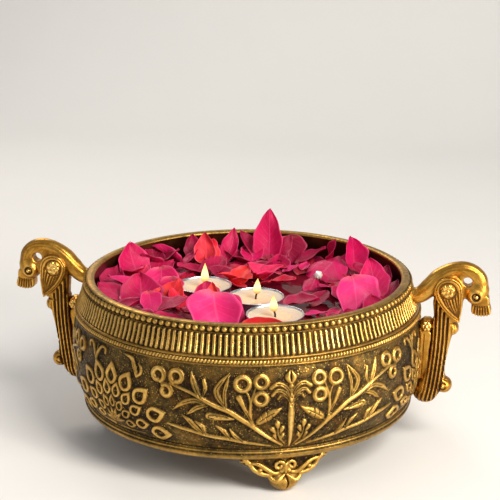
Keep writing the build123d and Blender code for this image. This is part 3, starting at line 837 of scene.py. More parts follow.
def turned_profile(points, columns=96):
    """A surface turned about x = y = 0 from (radius, height) points, given downwards on the outside."""
    curve = np.asarray(points, dtype=float)
    angles = np.linspace(0, 2 * math.pi, columns, endpoint=False)
    ring = np.stack([curve[:, :1] * np.cos(angles), curve[:, :1] * np.sin(angles),
                     curve[:, 1:] + 0 * angles], -1)
    return ring, angles


def build_cup(number, aluminium):
    """A thin drawn cup with a rolled lip, faint crimps round its wall and a stepped base."""
    cup = "tealight_cup_%d" % number
    base = lower(cup)[2]
    radius = (upper(cup) - lower(cup))[0] / 2
    tall = upper(cup)[2] - base
    outline = [(radius - 1.0, tall - 1.0), (radius - 0.7, tall - 0.3), (radius - 0.35, tall - 0.02),
               (radius - 0.05, tall - 0.3), (radius - 0.1, tall - 0.75), (radius - 0.5, tall - 1.0),
               (radius - 0.55, 0.6 * tall), (radius - 0.7, 1.2), (radius - 1.2, 0.25),
               (radius - 2.2, 0.0), (radius - 4.0, 0.4), (0.2, 0.4)]
    outline = profile(outline[:6], 0.2).tolist() + profile(outline[5:], 0.5).tolist()[1:]
    inner = profile([(0.2, 0.7), (radius - 2.5, 0.7), (radius - 1.2, 1.5), (radius - 1.0, tall - 1.0)],
                    0.8).tolist()
    ring, angles = turned_profile(outline + inner, 144)
    crimp = 0.10 * np.cos(angles * 36) * step_up(-np.abs(ring[:, :1, 2] - 0.45 * tall), -0.38 * tall,
                                                 -0.2 * tall)
    wall = np.hypot(ring[..., 0], ring[..., 1])
    ring[..., :2] *= ((wall + crimp - 0.1) / np.maximum(wall, 0.1))[..., None]
    points = ring.reshape(-1, 3) + (*middle_of(cup)[:2], base)
    faces = grid_faces(len(ring), len(angles), True)[:, ::-1]
    thing = make_mesh("foil_cup_%d" % number, points, faces, aluminium)
    piece(thing, "tealight_%d" % number, "aluminium", cup)


def build_wax(number, wax):
    """Wax with a low meniscus at the foil and a shallow melted pool round the wick."""
    node = "wax_%d" % number
    low = lower(node)[2]
    radius = (upper(node) - lower(node))[0] / 2 - 0.4
    top = upper(node)[2] - low
    wobble = 0.12
    outline = [(0.8, top - 1.55), (2.4, top - 1.75), (6, top - 1.7), (10, top - 1.5), (13, top - 1.1),
               (15, top - 0.95), (radius - 1.2, top - 0.75), (radius - 0.3, top - 0.35),
               (radius, top - 0.2), (radius, 2), (radius - 1, 0.3), (0.8, 0.2)]
    ring, angles = turned_profile(profile(outline[:9], 0.6).tolist() + outline[9:], 96)
    away = np.hypot(ring[..., 0], ring[..., 1])
    ring[..., 2] += wobble * np.sin(3 * angles + number) * step_up(away, 6, 12) * (ring[..., 2] > 3)
    points = ring.reshape(-1, 3) + (*middle_of(node)[:2], low)
    faces = grid_faces(len(ring), len(angles), True)[:, ::-1]
    thing = make_mesh("wax_fill_%d" % number, points, faces, wax, pool=(1 - step_up(away, 9, 14)).ravel())
    piece(thing, "tealight_%d" % number, "wax", node)


def build_wick(number, wick, flame):
    """A charred, bent wick and its flame."""
    node = "wick_%d" % number
    x, y = middle_of(node)[:2]
    foot, top = lower(node)[2], upper(node)[2]
    lean = math.radians((20, 200, -40)[number - 1])
    sway = np.array([math.cos(lean), math.sin(lean)])
    heights = np.linspace(foot, top, 24)
    bend = 1.1 * step_up(heights, top - 5.5, top) ** 1.5
    angles = np.linspace(0, 2 * math.pi, 16, endpoint=False)
    knobble = 1 + 0.13 * np.sin(angles * 5 + heights[:, None] * 2.2)
    radius = 0.62 * knobble * np.where(heights > top - 0.8, 0.75, 1.0)[:, None]
    rings = np.stack([x + sway[0] * bend[:, None] + radius * np.cos(angles),
                      y + sway[1] * bend[:, None] + radius * np.sin(angles),
                      heights[:, None] + 0 * angles], -1)
    thing = make_mesh("burnt_wick_%d" % number, closed_ends(rings), tube_faces(*rings.shape[:2]), wick)
    piece(thing, "tealight_%d" % number, "wick", node)

    tall = (11.0, 11.5, 14.5)[number - 1]
    rise = np.linspace(0, 1, 26)
    half = 2.9 * np.sin(math.pi * rise**0.60)**0.9 * (1 - 0.25 * rise) + 0.05
    drift = 0.5 * rise**2
    rings = np.stack([x + sway[0] * (0.9 + drift[:, None]) + half[:, None] * np.cos(angles),
                      y + sway[1] * (0.9 + drift[:, None]) + half[:, None] * np.sin(angles),
                      top - 2.2 + tall * rise[:, None] + 0 * angles], -1)
    ends = np.concatenate([[0], np.repeat(rise, len(angles)), [1]])
    thing = make_mesh("flame_%d" % number, closed_ends(rings), tube_faces(*rings.shape[:2]), flame,
                      rise=ends)
    piece(thing, "tealight_%d" % number, "wax")


def closed_ends(rings):
    """The points of stacked rings, with a middle point before the first and after the last."""
    return np.vstack([rings[0].mean(axis=0), rings.reshape(-1, 3), rings[-1].mean(axis=0)])


def tube_faces(rows, columns):
    """Triangles of stacked rings, closed at both ends by a fan."""
    body = grid_faces(rows, columns, True) + 1
    j = np.arange(columns)
    k = (j + 1) % columns
    last = rows * columns + 1
    first_fan = np.stack([0 * j, k + 1, j + 1], -1)
    last_fan = np.stack([0 * j + last, last - columns + j, last - columns + k], -1)
    triangles = np.vstack([np.vstack([body[:, [0, 1, 2]], body[:, [0, 2, 3]]]), first_fan, last_fan])
    return triangles


def build_sustainers(steel):
    """The steel discs keep their CAD shape, under the wax."""
    for number in TEALIGHTS:
        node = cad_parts["wick_sustainer_%d" % number]
        node.data.materials.clear()
        node.data.materials.append(steel)


def build_water(water):
    """A still pool that climbs a little where it wets the brass and the cups."""
    angles = np.linspace(0, 2 * math.pi, 240, endpoint=False)
    edge = upper("water")[0] - 3.9
    outline = profile([(0.5, WATER_LEVEL), (60, WATER_LEVEL), (edge - 4, WATER_LEVEL),
                       (edge - 1.4, WATER_LEVEL + 0.1), (edge + 0.1, WATER_LEVEL + 0.75)], 1.2)
    under = profile([(edge, WATER_LEVEL - 1.0), (60, WATER_LEVEL - 6), (0.5, WATER_LEVEL - 6)], 6)
    curve = np.vstack([outline, under])
    ring, angles = turned_profile(curve, 240)
    for number in TEALIGHTS:
        cup = "tealight_cup_%d" % number
        middle = middle_of(cup)
        radius = (upper(cup) - lower(cup))[0] / 2
        away = np.hypot(ring[..., 0] - middle[0], ring[..., 1] - middle[1])
        climb = 0.55 * np.exp(-np.clip(away - radius, 0, None) / 1.2)
        ring[..., 2] += np.where(ring[..., 2] > WATER_LEVEL - 0.5, climb, 0)
    faces = grid_faces(len(ring), len(angles), True)[:, ::-1]
    thing = make_mesh("still_water", ring.reshape(-1, 3), faces, water)
    piece(thing, "bowl", "water", "water")


# ---------------------------------------------------------------- bracts

OPEN_WATER = (43.0, 8.0)         # middle of the patch that no scattered bract covers
OPEN_RADIUS = 22.0
SCATTER_RADIUS = 97.0            # scattered bracts lie within this distance of the axis
CUP_CLEARANCE = 20.5             # from a cup's middle to the nearest end of a scattered bract


def bract(length, width, bend=0.0, cup=0.2, twist=0.0, ripple=0.6, seed=0):
    """One papery bract, a thin closed shell along X from its stalk, with its along and across numbers."""
    rows, columns, thick = 22, 17, 0.22
    draw = np.random.default_rng(seed)
    s = np.linspace(0, 1, rows)[:, None]
    v = np.linspace(-1, 1, columns)[None, :]
    lopsided, sweep, edge = draw.uniform(-0.14, 0.14), draw.uniform(-0.16, 0.16), draw.uniform(0, 6.28)
    half = 0.5 * width * np.sin(math.pi * np.clip(s, 0.004, 0.996)**draw.uniform(0.62, 0.80))**0.75
    half = half * (1 + lopsided * np.sign(v)) * (1 + 0.045 * np.sin(17 * s + edge + 2 * np.sign(v)))
    turn = math.radians(bend) * s
    along = length * (np.where(abs(bend) > 1, np.sin(turn) / math.radians(bend or 1), s))
    lift = length * (np.where(abs(bend) > 1, (1 - np.cos(turn)) / math.radians(bend or 1), 0))
    across = half * v
    phase = draw.uniform(0, 6.28, 4)
    waves = (np.sin(6.28 * (1.6 * s) + phase[0] + 1.3 * np.sign(v)) * v**2
             + 0.5 * np.sin(6.28 * 3.1 * s + phase[1] + v) * v**2)
    folds = (0.85 * np.sin(3.4 * s + 2.3 * v + phase[2]) * length / 30
             + 0.35 * np.sin(7.1 * s - 3.9 * v + phase[3]) * length / 30)
    rib = -0.22 * np.exp(-(across / 0.55)**2) * (1 - s)
    veins = 0.05 * np.cos(6.28 * 7 * (s - 0.32 * np.abs(v))) * (1 - 0.4 * np.abs(v))
    rise = lift + cup * half * v**2 * 1.6 + ripple * waves * width / 24 + folds + rib + veins
    roll = math.radians(twist) * s
    y = across * np.cos(roll) - (rise - lift) * np.sin(roll) + sweep * length * s**2
    z = across * np.sin(roll) + (rise - lift) * np.cos(roll) + lift
    top = np.stack([along + 0 * v, y, z], -1)
    normal = np.cross(np.gradient(top, axis=0), np.gradient(top, axis=1))
    normal /= np.maximum(np.linalg.norm(normal, axis=2), 1e-9)[..., None]
    under = top - normal * thick * np.sin(math.pi * np.clip(s, 0.03, 0.97))[..., None]**0.3
    points = np.vstack([top.reshape(-1, 3), under.reshape(-1, 3)])
    count = rows * columns
    upper_faces = grid_faces(rows, columns)[:, ::-1]
    lower_faces = grid_faces(rows, columns) + count
    loop = np.concatenate([np.arange(columns), np.arange(1, rows) * columns + columns - 1,
                           (rows - 1) * columns + np.arange(columns - 2, -1, -1),
                           np.arange(rows - 2, 0, -1) * columns])
    follow = np.roll(loop, -1)
    rim = np.stack([loop, follow, follow + count, loop + count], -1)
    s_all = np.tile((s + 0 * v).ravel(), 2)
    v_all = np.tile((v + 0 * s).ravel(), 2)
    return points, np.vstack([upper_faces, lower_faces, rim]), s_all, v_all


def place(points, at, heading, pitch, roll, hold):
    """Turns a bract about its hold point (a share of its length) and puts that point at a place."""
    length = points[:, 0].max()
    moved = points - (hold * length, 0, 0)
    turn = (Matrix.Rotation(math.radians(heading), 3, "Z")
            @ Matrix.Rotation(math.radians(-pitch), 3, "Y")
            @ Matrix.Rotation(math.radians(roll), 3, "X"))
    return moved @ np.array(turn).T + at


class Heap:
    """Bracts gathered into one mesh for one side of the bowl."""

    def __init__(self, name, node):
        self.name, self.node = name, node
        self.points, self.faces, self.numbers = [], [], []
        self.count = 0

    def add(self, at, heading, pitch, size, tint, coral=0.0, roll=0.0, bend=15.0, cup=0.2, twist=0.0,
            hold=0.5, ripple=0.6):
        seed = int(abs(at[0] * 31 + at[1] * 17 + heading)) + 5
        points, faces, s, v = bract(size[0], size[1], bend, cup, twist, ripple, seed)
        points = place(points, at, heading, pitch, roll, hold)
        self.points.append(points)
        self.faces.append(faces + self.count)
        self.count += len(points)
        self.numbers.append(np.stack([s, v, np.full(len(s), tint), np.full(len(s), coral)], -1))

    def finish(self, material):
        numbers = np.vstack(self.numbers)
        thing = make_mesh(self.name, np.vstack(self.points), np.vstack(self.faces), material,
                          along=numbers[:, 0],
                          across=numbers[:, 1], tint=numbers[:, 2], coral=numbers[:, 3])
        piece(thing, "bowl", "bract", self.node)


def scatter(heap, first, last, count, seed):
    """Fills a side of the bowl, between two bearings in degrees, with dark bracts flat on the water."""
    draw = np.random.default_rng(seed)
    cups = [middle_of("tealight_cup_%d" % number)[:2] for number in TEALIGHTS]
    placed = 0
    while placed < count:
        bearing = math.radians(draw.uniform(first, last))
        out = SCATTER_RADIUS * math.sqrt(draw.uniform(0.12, 1))
        at = np.array([out * math.cos(bearing), out * math.sin(bearing)])
        length = draw.uniform(19, 30)
        from_cup = min(np.hypot(*(at - cup)) for cup in cups)
        if from_cup < CUP_CLEARANCE + length / 2 or np.hypot(*(at - OPEN_WATER)) < OPEN_RADIUS:
            continue
        heap.add((*at, WATER_LEVEL + 1.2 + 0.035 * placed), draw.uniform(0, 360), draw.uniform(0, 7),
                 (length, 0.68 * length), draw.uniform(0.04, 0.34), draw.choice([0, 0, 0, 0.5]), bend=12,
                 cup=0.1)
        placed += 1


def flower_of_bracts(heap, at, size, tint, coral, pitch=40, turn=0.0):
    """Three bracts that share a stalk, as they grow."""
    for third in range(3):
        heap.add(at, turn + 120 * third, pitch, size, tint, coral, roll=8, bend=-25, cup=0.3, hold=0.05)


def left_heap():
    h = Heap("bracts_left", "left_bracts")
    h.add((-61, 0, 103), -75, -42, (29, 24), 0.55, bend=-20)
    h.add((-69, -24, 101.5), 105, 28, (34, 30), 0.28)
    h.add((-86, -28, 100), 165, 14, (34, 25), 0.3)
    h.add((-92, 36, 103), 140, 38, (32, 27), 0.5, bend=30)
    h.add((-86, 28, 101), -30, 18, (27, 20), 0.5, 0.45)
    h.add((-79, 23, 103), 60, 20, (15, 11), 0.9, 0.3)
    h.add((-96, -4, 100.5), 100, 15, (20, 15), 0.4)
    h.add((-84, -8, 102.5), 172, 12, (30, 17), 0.62)
    h.add((-57, -44, 103), -60, -50, (19, 15), 0.66)
    h.add((-46, -48, 101), 10, 12, (33, 24), 0.2)
    h.add((-52, -17, 103), -100, -45, (25, 20), 0.5)
    h.add((-49, -22, 102), 80, 48, (25, 22), 0.6, 0.95, ripple=1.4)
    h.add((-44, -29, 101), 140, 30, (20, 16), 0.45, 0.7, ripple=1.2)
    for turn in (10, 130, 250):
        h.add((-78, 55, 99.5), turn, 28, (21, 16), 0.14, hold=0.05)
    h.add((-63, 68, 98.5), 201, 38, (25, 9), 0.42, twist=50, bend=-15, cup=0.5, hold=0)
    h.add((-60, 60, 99), 30, 30, (18, 12), 0.35, hold=0.1)
    h.add((-72, 40, 98.5), 60, 8, (30, 22), 0.22)
    h.add((-62, 24, 98), 10, 10, (26, 18), 0.3)
    h.add((-98, 14, 99), 80, 20, (26, 18), 0.24)
    h.add((-60, -64, 99), -30, 6, (34, 22), 0.34)
    h.add((-76, -52, 99), 20, 8, (32, 22), 0.2)
    h.add((-40, -66, 98.5), 200, 8, (28, 20), 0.26)
    scatter(h, 140, 235, 20, 3)
    return h


def back_heap():
    h = Heap("bracts_back", "back_bracts")
    h.add((-56, 74, 100), 101, 62, (20, 14), 0.2, hold=0.1)
    h.add((-45, 69, 97.5), 96, 74, (24, 16), 0.68, 0.75, cup=0.5, hold=0, ripple=1.3)
    h.add((-40, 71, 97.5), 120, 60, (19, 12), 0.55, 0.8, hold=0, ripple=1.2)
    h.add((-32, 75, 97.5), 50, 55, (27, 13), 0.36, twist=65, hold=0, cup=0.4)
    h.add((-24, 82, 99), 190, 16, (27, 21), 0.2)
    h.add((-13, 86, 101), -70, -32, (23, 18), 0.45)
    h.add((-2, 90, 96.5), 94, 83, (39.5, 22), 0.45, bend=6, cup=0.24, hold=0, ripple=0.35)
    h.add((-8, 90, 97.5), 152, 42, (26, 15), 0.34, hold=0)
    h.add((4, 88, 98), 60, 38, (24, 17), 0.3, hold=0)
    h.add((13, 96, 103), -76, -52, (27, 25), 0.15, bend=-30)
    h.add((30, 90, 101), 20, 20, (26, 20), 0.2)
    h.add((19, 66, 98), 15, 12, (13, 10), 0.75)
    h.add((27, 76, 98), 80, 20, (9, 8), 0.6)
    h.add((18, 39, 97.5), -8, 8, (21, 12), 0.45, 0.6)
    flower_of_bracts(h, (-12, 29, 97), (19, 15), 0.6, 1.0, 42, 75)
    flower_of_bracts(h, (3, 40, 97.5), (19, 15), 0.7, 0.3, 45, 30)
    h.add((5, 27, 98), -60, 15, (18, 14), 0.3, 0.9)
    h.add((-14, 24, 97.5), 200, 12, (18, 13), 0.4, 0.9)
    h.add((-28, 44, 97), 150, 6, (28, 19), 0.16)
    h.add((-8, 60, 97.5), 20, 8, (30, 20), 0.18)
    h.add((-34, 58, 98), 60, 14, (28, 20), 0.22)
    h.add((-50, 50, 98), 200, 10, (26, 18), 0.2)
    h.add((-40, 88, 99.5), 150, 24, (30, 20), 0.24)
    h.add((8, 76, 97), 100, 10, (26, 18), 0.25)
    scatter(h, 50, 138, 18, 4)
    return h


def right_heap():
    h = Heap("bracts_right", "right_bracts")
    h.add((43, 61, 102), 236, -14, (40, 31), 0.5, bend=-35, cup=-0.12)
    h.add((40, 38, 98.5), 262, -10, (35, 17), 0.42, bend=-15, cup=-0.1)
    h.add((45, 80, 100), -30, 66, (21, 10), 0.4, twist=85, hold=0, cup=0.5)
    h.add((65, 69, 98), 100, 62, (31, 17), 0.6, bend=75, twist=30, hold=0, cup=0.4)
    h.add((60, 36, 98), 30, 14, (17, 12), 0.1, 0.5, ripple=1.3)
    h.add((64, 40, 99), 150, 30, (15, 11), 0.15, 0.6, ripple=1.3)
    h.add((87, 14, 98), 112, 52, (32, 21), 0.5, bend=-12, hold=0.05)
    h.add((90, 46, 101), 60, 42, (21, 15), 0.18)
    h.add((76, 32, 100), 200, 24, (26, 19), 0.55)
    h.add((77, -7, 103.5), -62, -44, (36, 31), 0.8, bend=-18)
    h.add((38, -8, 97.5), 8, 7, (27, 24), 0.16)
    h.add((48, 6, 96.2), 70, 3, (24, 15), 0.08)
    h.add((51, -24, 96.2), 5, 3, (16, 10), 0.8)
    h.add((63, -22, 96.4), 40, 6, (12, 9), 0.5)
    h.add((78, 58, 98.5), 150, 14, (30, 20), 0.22)
    h.add((96, 20, 99), 80, 22, (26, 17), 0.26)
    h.add((92, -16, 98.5), 100, 16, (28, 19), 0.3)
    h.add((84, -40, 98), -70, 8, (30, 20), 0.24)
    h.add((66, -38, 97), -60, 5, (24, 15), 0.35)
    h.add((58, 84, 99.5), 20, 22, (26, 18), 0.2)
    scatter(h, -40, 48, 16, 5)
    return h


def front_heap():
    h = Heap("bracts_front", "front_bracts")
    h.add((-9, -62, 103.5), -72, -36, (42, 35), 0.78, bend=-22, ripple=0.35)
    h.add((-4, -44, 101.5), -36, -22, (42, 27), 0.3, bend=-25)
    h.add((-27, -18, 101.5), 118, 38, (22, 20), 0.3)
    h.add((-21, -19, 97.5), 101, 78, (15, 8), 0.7, 1.0, cup=0.5, hold=0)
    h.add((24, -70, 103.5), 2, 4, (30, 8), 0.6, 1.0, roll=35, ripple=0.4)
    h.add((-26, -38, 98.5), 70, 10, (28, 20), 0.3)
    h.add((-20, -84, 98), -10, 6, (34, 22), 0.26)
    h.add((14, -88, 98), 15, 8, (34, 20), 0.4)
    h.add((46, -80, 98), 30, 8, (32, 20), 0.3)
    h.add((62, -60, 98.5), 50, 12, (28, 18), 0.5)
    scatter(h, -122, -42, 14, 6)
    return h


def build_small_flower(petal_white, heart_yellow):
    """The white flower on the bracts with its heart, and the hearts of two bougainvillea flowers."""
    x, y = middle_of("white_flower")[:2]
    level = lower("white_flower")[2] + 3.0
    heap = Heap("white_florets", "white_flower")
    for turn in range(5):
        heap.add((x, y, level - 1), 72 * turn, 50, (6.2, 5.6), 1.0, cup=0.45, bend=35, hold=0.02,
                 ripple=0.1)
    numbers = np.vstack(heap.numbers)
    thing = make_mesh(heap.name, np.vstack(heap.points), np.vstack(heap.faces), petal_white,
                      along=numbers[:, 0])
    piece(thing, "bowl", "white_petal", "white_flower")
    hearts = [((x, y, level + 1.4), 1.6), ((-78, 55, 102.2), 1.2), ((-12, 29, 99.4), 1.0)]
    for number, (at, size) in enumerate(hearts):
        rise = np.linspace(0, math.pi, 12)
        ring, _ = turned_profile(np.stack([size * np.sin(rise) + 0.01, size * np.cos(rise)], -1), 20)
        thing = make_mesh("flower_heart_%d" % number, ring.reshape(-1, 3) + at,
                          grid_faces(12, 20, True)[:, ::-1], heart_yellow)
        piece(thing, "bowl", "white_petal")


# ---------------------------------------------------------------- materials

class Graph:
    """The nodes of one material, each made and joined in one call."""

    def __init__(self, name, **values):
        self.material = bpy.data.materials.new(name)
        self.material.use_nodes = True
        self.tree = self.material.node_tree
        self.shader = self.tree.nodes["Principled BSDF"]
        for socket, value in values.items():
            self.set(socket.replace("_", " "), value)

    def set(self, socket, value):
        self.feed(self.shader.inputs[socket], value)

    def feed(self, socket, value):
        if isinstance(value, bpy.types.NodeSocket):
            self.tree.links.new(value, socket)
        else:
            socket.default_value = value

    def node(self, kind, inputs, output=0, **settings):
        made = self.tree.nodes.new("ShaderNode" + kind)
        for key, value in settings.items():
            setattr(made, key, value)
        for socket, value in inputs.items():
            self.feed(made.inputs[socket], value)
        return made.outputs[output]

    def place(self):
        return self.node("TexCoord", {}, "Object")

    def number(self, name):
        """A per-vertex number of the mesh."""
        return self.node("Attribute", {}, "Fac", attribute_name=name)

    def noise(self, per_metre, detail=3.0, rough=0.55):
        return self.node("TexNoise", {"Vector": self.place(), "Scale": per_metre, "Detail": detail,
                                      "Roughness": rough})

    def cells(self, per_metre):
        return self.node("TexVoronoi", {"Vector": self.place(), "Scale": per_metre}, "Distance")

    def math(self, operation, a, b=0.0):
        return self.node("Math", {0: a, 1: b}, operation=operation)

    def span(self, value, low, high, to_low=0.0, to_high=1.0):
        return self.node("MapRange", {"Value": value, "From Min": low, "From Max": high,
                                      "To Min": to_low, "To Max": to_high})

    def mix(self, share, a, b, blend_type="MIX"):
        return self.node("Mix", {0: share, 6: a, 7: b}, 2, data_type="RGBA", blend_type=blend_type)

    def ramp(self, value, *stops):
        made = self.tree.nodes.new("ShaderNodeValToRGB")
        self.feed(made.inputs[0], value)
        band = made.color_ramp
        while len(band.elements) < len(stops):
            band.elements.new(0.5)
        for element, (at, colour) in zip(band.elements, stops):
            element.position = at
            element.color = (*colour, 1)
        return made.outputs[0]

    def bump(self, height, depth_mm, strength=1.0):
        self.set("Normal", self.node("Bump",
                                     {"Height": height, "Distance": depth_mm * MM, "Strength": strength}))


def antique_brass(name, bright):
    """Cast brass: black-brown lacquer left in the recesses, worn satin gold on what stands out; the tone it
    follows also holds painted shade and painted highlight.
    """
    g = Graph(name)
    tone = g.number("tone")
    patches = g.span(g.noise(38), 0.3, 0.7, -0.13, 0.13)
    rubbing = g.span(g.noise(420, 4), 0.3, 0.7, -0.11, 0.11)
    worn = g.math("ADD", tone, g.math("ADD", patches, rubbing))
    specks = g.span(g.cells(720), 0.36, 0.16)
    ground = g.span(tone, 0.34, 0.2)
    worn = g.math("ADD", worn, g.math("MULTIPLY", g.math("MULTIPLY", specks, ground),
                                      g.span(g.noise(260), 0.38, 0.6, 0.08, 0.55)))
    colour = g.ramp(worn, (0.0, (0.020, 0.009, 0.002)), (0.2, (0.090, 0.056, 0.014)),
                    (0.42, (0.26, 0.155, 0.036)), (0.7, (0.60 * bright, 0.34 * bright, 0.075)),
                    (1.0, (0.92 * bright, 0.62 * bright, 0.20)))
    g.set("Base Color", g.mix(g.span(g.noise(90, 5), 0.5, 0.72, 0.0, 0.3), colour, (0.36, 0.16, 0.022, 1)))
    g.set("Metallic", g.span(worn, 0.1, 0.6, 0.80, 1.0))
    g.set("Roughness", g.math("ADD", g.span(worn, 0.1, 0.9, 0.60, 0.27),
                              g.span(g.noise(700, 2), 0.3, 0.7, -0.06, 0.06)))
    grain = g.math("ADD", g.noise(1300, 3),
                   g.math("MULTIPLY", g.math("MULTIPLY", g.cells(760), ground), -2.2))
    g.bump(grain, 0.16, 0.7)
    return g.material


def golden_brass():
    """Smoother, warmer brass, dark only in its grooves; its tone also holds painted shade in hollows and a
    painted highlight on what stands out and on the eye bead.
    """
    g = Graph("golden_brass")
    tone = g.number("tone")
    patches = g.span(g.noise(45), 0.3, 0.7, -0.12, 0.10)
    rubbing = g.span(g.noise(500, 4), 0.3, 0.7, -0.07, 0.06)
    worn = g.math("ADD", tone, g.math("ADD", patches, rubbing))
    g.set("Base Color", g.ramp(worn, (0.0, (0.030, 0.010, 0.001)), (0.25, (0.13, 0.052, 0.006)),
                               (0.5, (0.36, 0.165, 0.022)), (0.75, (0.64, 0.34, 0.060)),
                               (1.0, (0.92, 0.58, 0.16))))
    g.set("Metallic", g.span(worn, 0.1, 0.5, 0.6, 1.0))
    g.set("Roughness", g.math("ADD", g.span(worn, 0.1, 0.9, 0.55, 0.24),
                              g.span(g.noise(260, 4), 0.3, 0.7, -0.05, 0.09)))
    g.bump(g.noise(900, 3), 0.07, 0.6)
    return g.material


def inner_brass():
    """The tarnished inside wall, red-brown with darker blotches and a faint grain."""
    g = Graph("inner_brass", Metallic=0.75)
    blotches = g.noise(60, 5)
    g.set("Base Color", g.ramp(blotches, (0.25, (0.035, 0.009, 0.004)), (0.5, (0.10, 0.028, 0.010)),
                               (0.8, (0.20, 0.075, 0.022))))
    g.set("Roughness", g.span(blotches, 0.3, 0.7, 0.30, 0.50))
    g.bump(g.noise(1100, 3), 0.08, 0.5)
    return g.material


def water_material():
    """Still water, mirror smooth; its nearly black red colour is painted shade of the brass below and a
    painted reflection of the bracts.
    """
    g = Graph("water", Roughness=0.035, IOR=1.15)
    # painted shade and painted reflection: the noise called depth varies the red at random, not with the
    # water's depth
    depth = g.noise(22, 3)
    g.set("Base Color", g.ramp(depth, (0.3, (0.09, 0.003, 0.009)), (0.7, (0.20, 0.008, 0.020))))
    g.bump(g.noise(70, 2), 0.25, 0.35)
    return g.material


def bract_material():
    """Papery bract: hot pink to coral, with a pale midrib, branching veins and a fine crinkle."""
    g = Graph("bract", Subsurface_Weight=0.10, Subsurface_Scale=0.0015, Specular_IOR_Level=0.3)
    along, across = g.number("along"), g.math("ABSOLUTE", g.number("across"))
    shade = g.math("ADD", g.number("tint"), g.span(g.noise(70, 4), 0.3, 0.7, -0.16, 0.16))
    pink = g.ramp(shade, (0.0, (0.22, 0.0, 0.022)), (0.3, (0.44, 0.002, 0.06)), (0.55, (0.60, 0.004, 0.10)),
                  (0.8, (0.70, 0.018, 0.16)), (1.0, (0.80, 0.07, 0.26)))
    red = g.ramp(shade, (0.0, (0.30, 0.001, 0.006)), (0.5, (0.74, 0.012, 0.018)), (1.0, (0.92, 0.10, 0.07)))
    colour = g.mix(g.number("coral"), pink, red)
    rib = g.span(across, 0.07, 0.02)
    side_vein = g.math("SINE", g.math("MULTIPLY",
                                      g.math("SUBTRACT", along, g.math("MULTIPLY", across, 0.32)), 44.0))
    side_vein = g.math("MULTIPLY", g.span(side_vein, 0.86, 1.0), g.span(across, 1.0, 0.5))
    veins = g.math("MAXIMUM", rib, g.math("MULTIPLY", side_vein, 0.6))
    colour = g.mix(g.math("MULTIPLY", veins, 0.10), colour, (1.0, 0.30, 0.48, 1))
    colour = g.mix(g.span(along, 0.14, 0.0, 0.0, 0.3), colour, (0.80, 0.30, 0.22, 1))
    colour = g.mix(g.span(across, 0.86, 1.0, 0.0, 0.16), colour, (0.95, 0.20, 0.42, 1))
    g.set("Base Color", colour)
    g.set("Roughness", g.span(g.noise(300, 3), 0.3, 0.7, 0.42, 0.62))
    crinkle = g.math("ADD", g.noise(420, 4), g.math("MULTIPLY", veins, 0.8))
    g.bump(crinkle, 0.22, 0.8)
    return g.material


def white_petal():
    g = Graph("white_petal", Roughness=0.55, Subsurface_Weight=0.2, Subsurface_Scale=0.001)
    g.set("Base Color", g.ramp(g.number("along"), (0.0, (0.75, 0.62, 0.30)), (0.25, (0.90, 0.86, 0.76)),
                               (1.0, (0.95, 0.93, 0.90))))
    g.bump(g.noise(500, 3), 0.1, 0.5)
    return g.material


def flower_heart():
    g = Graph("flower_heart", Roughness=0.7)
    g.set("Base Color", g.ramp(g.cells(900), (0.1, (0.85, 0.62, 0.12)), (0.6, (0.45, 0.25, 0.03))))
    g.bump(g.cells(900), 0.3, 1.0)
    return g.material


def wax_material():
    """Cream wax, glassy and amber where the flame has melted it, with a painted glow of flame light there.
    """
    g = Graph("wax", Subsurface_Weight=0.45, Subsurface_Scale=0.004, IOR=1.44)
    pool = g.number("pool")
    g.set("Base Color", g.mix(pool, (0.72, 0.56, 0.42, 1), (0.80, 0.56, 0.34, 1)))
    g.set("Roughness", g.span(pool, 0.0, 1.0, 0.42, 0.14))
    # painted light: the melted pool gives off a faint warm glow, standing in for the flame's light in the
    # wax
    g.set("Emission Color", (1.0, 0.62, 0.30, 1))
    g.set("Emission Strength", g.math("MULTIPLY", pool, 0.10))
    g.bump(g.noise(250, 3), 0.12, 0.4)
    return g.material


def aluminium_material():
    g = Graph("aluminium", Metallic=1.0)
    scuffs = g.noise(160, 4)
    g.set("Base Color", g.ramp(scuffs, (0.3, (0.50, 0.53, 0.60)), (0.7, (0.80, 0.82, 0.86))))
    g.set("Roughness", g.span(scuffs, 0.3, 0.7, 0.22, 0.38))
    g.bump(g.noise(600, 3), 0.1, 0.5)
    return g.material


def wick_material():
    g = Graph("charred_wick", Roughness=0.9)
    g.set("Base Color", g.ramp(g.noise(900, 3), (0.3, (0.006, 0.004, 0.003)), (0.7, (0.035, 0.022, 0.014))))
    g.bump(g.noise(1800, 2), 0.2, 1.0)
    return g.material


def steel_material():
    g = Graph("tinned_steel", Metallic=1.0, Roughness=0.35)
    g.set("Base Color", g.ramp(g.noise(200, 3), (0.3, (0.45, 0.45, 0.45)), (0.7, (0.62, 0.62, 0.62))))
    return g.material


def flame_material():
    """Dim amber at its foot, pale yellow in its body and amber at its tip."""
    g = Graph("flame", Base_Color=(0, 0, 0, 1), Roughness=1.0)
    rise = g.number("rise")
    g.set("Emission Color", g.ramp(rise, (0.0, (0.55, 0.20, 0.08)), (0.22, (1.0, 0.55, 0.16)),
                                   (0.5, (1.0, 0.82, 0.42)), (0.8, (1.0, 0.68, 0.24)),
                                   (1.0, (1.0, 0.42, 0.08))))
    g.set("Emission Strength", g.span(rise, 0.0, 0.3, 0.9, 1.7))
    return g.material


def pale(name, colour):
    g = Graph(name, Roughness=0.85)
    g.set("Base Color", g.mix(g.span(g.noise(9, 2), 0.35, 0.65, 0.0, 0.04), (*colour, 1),
                              (0.6, 0.58, 0.55, 1)))
    return g.material


# ---------------------------------------------------------------- studio

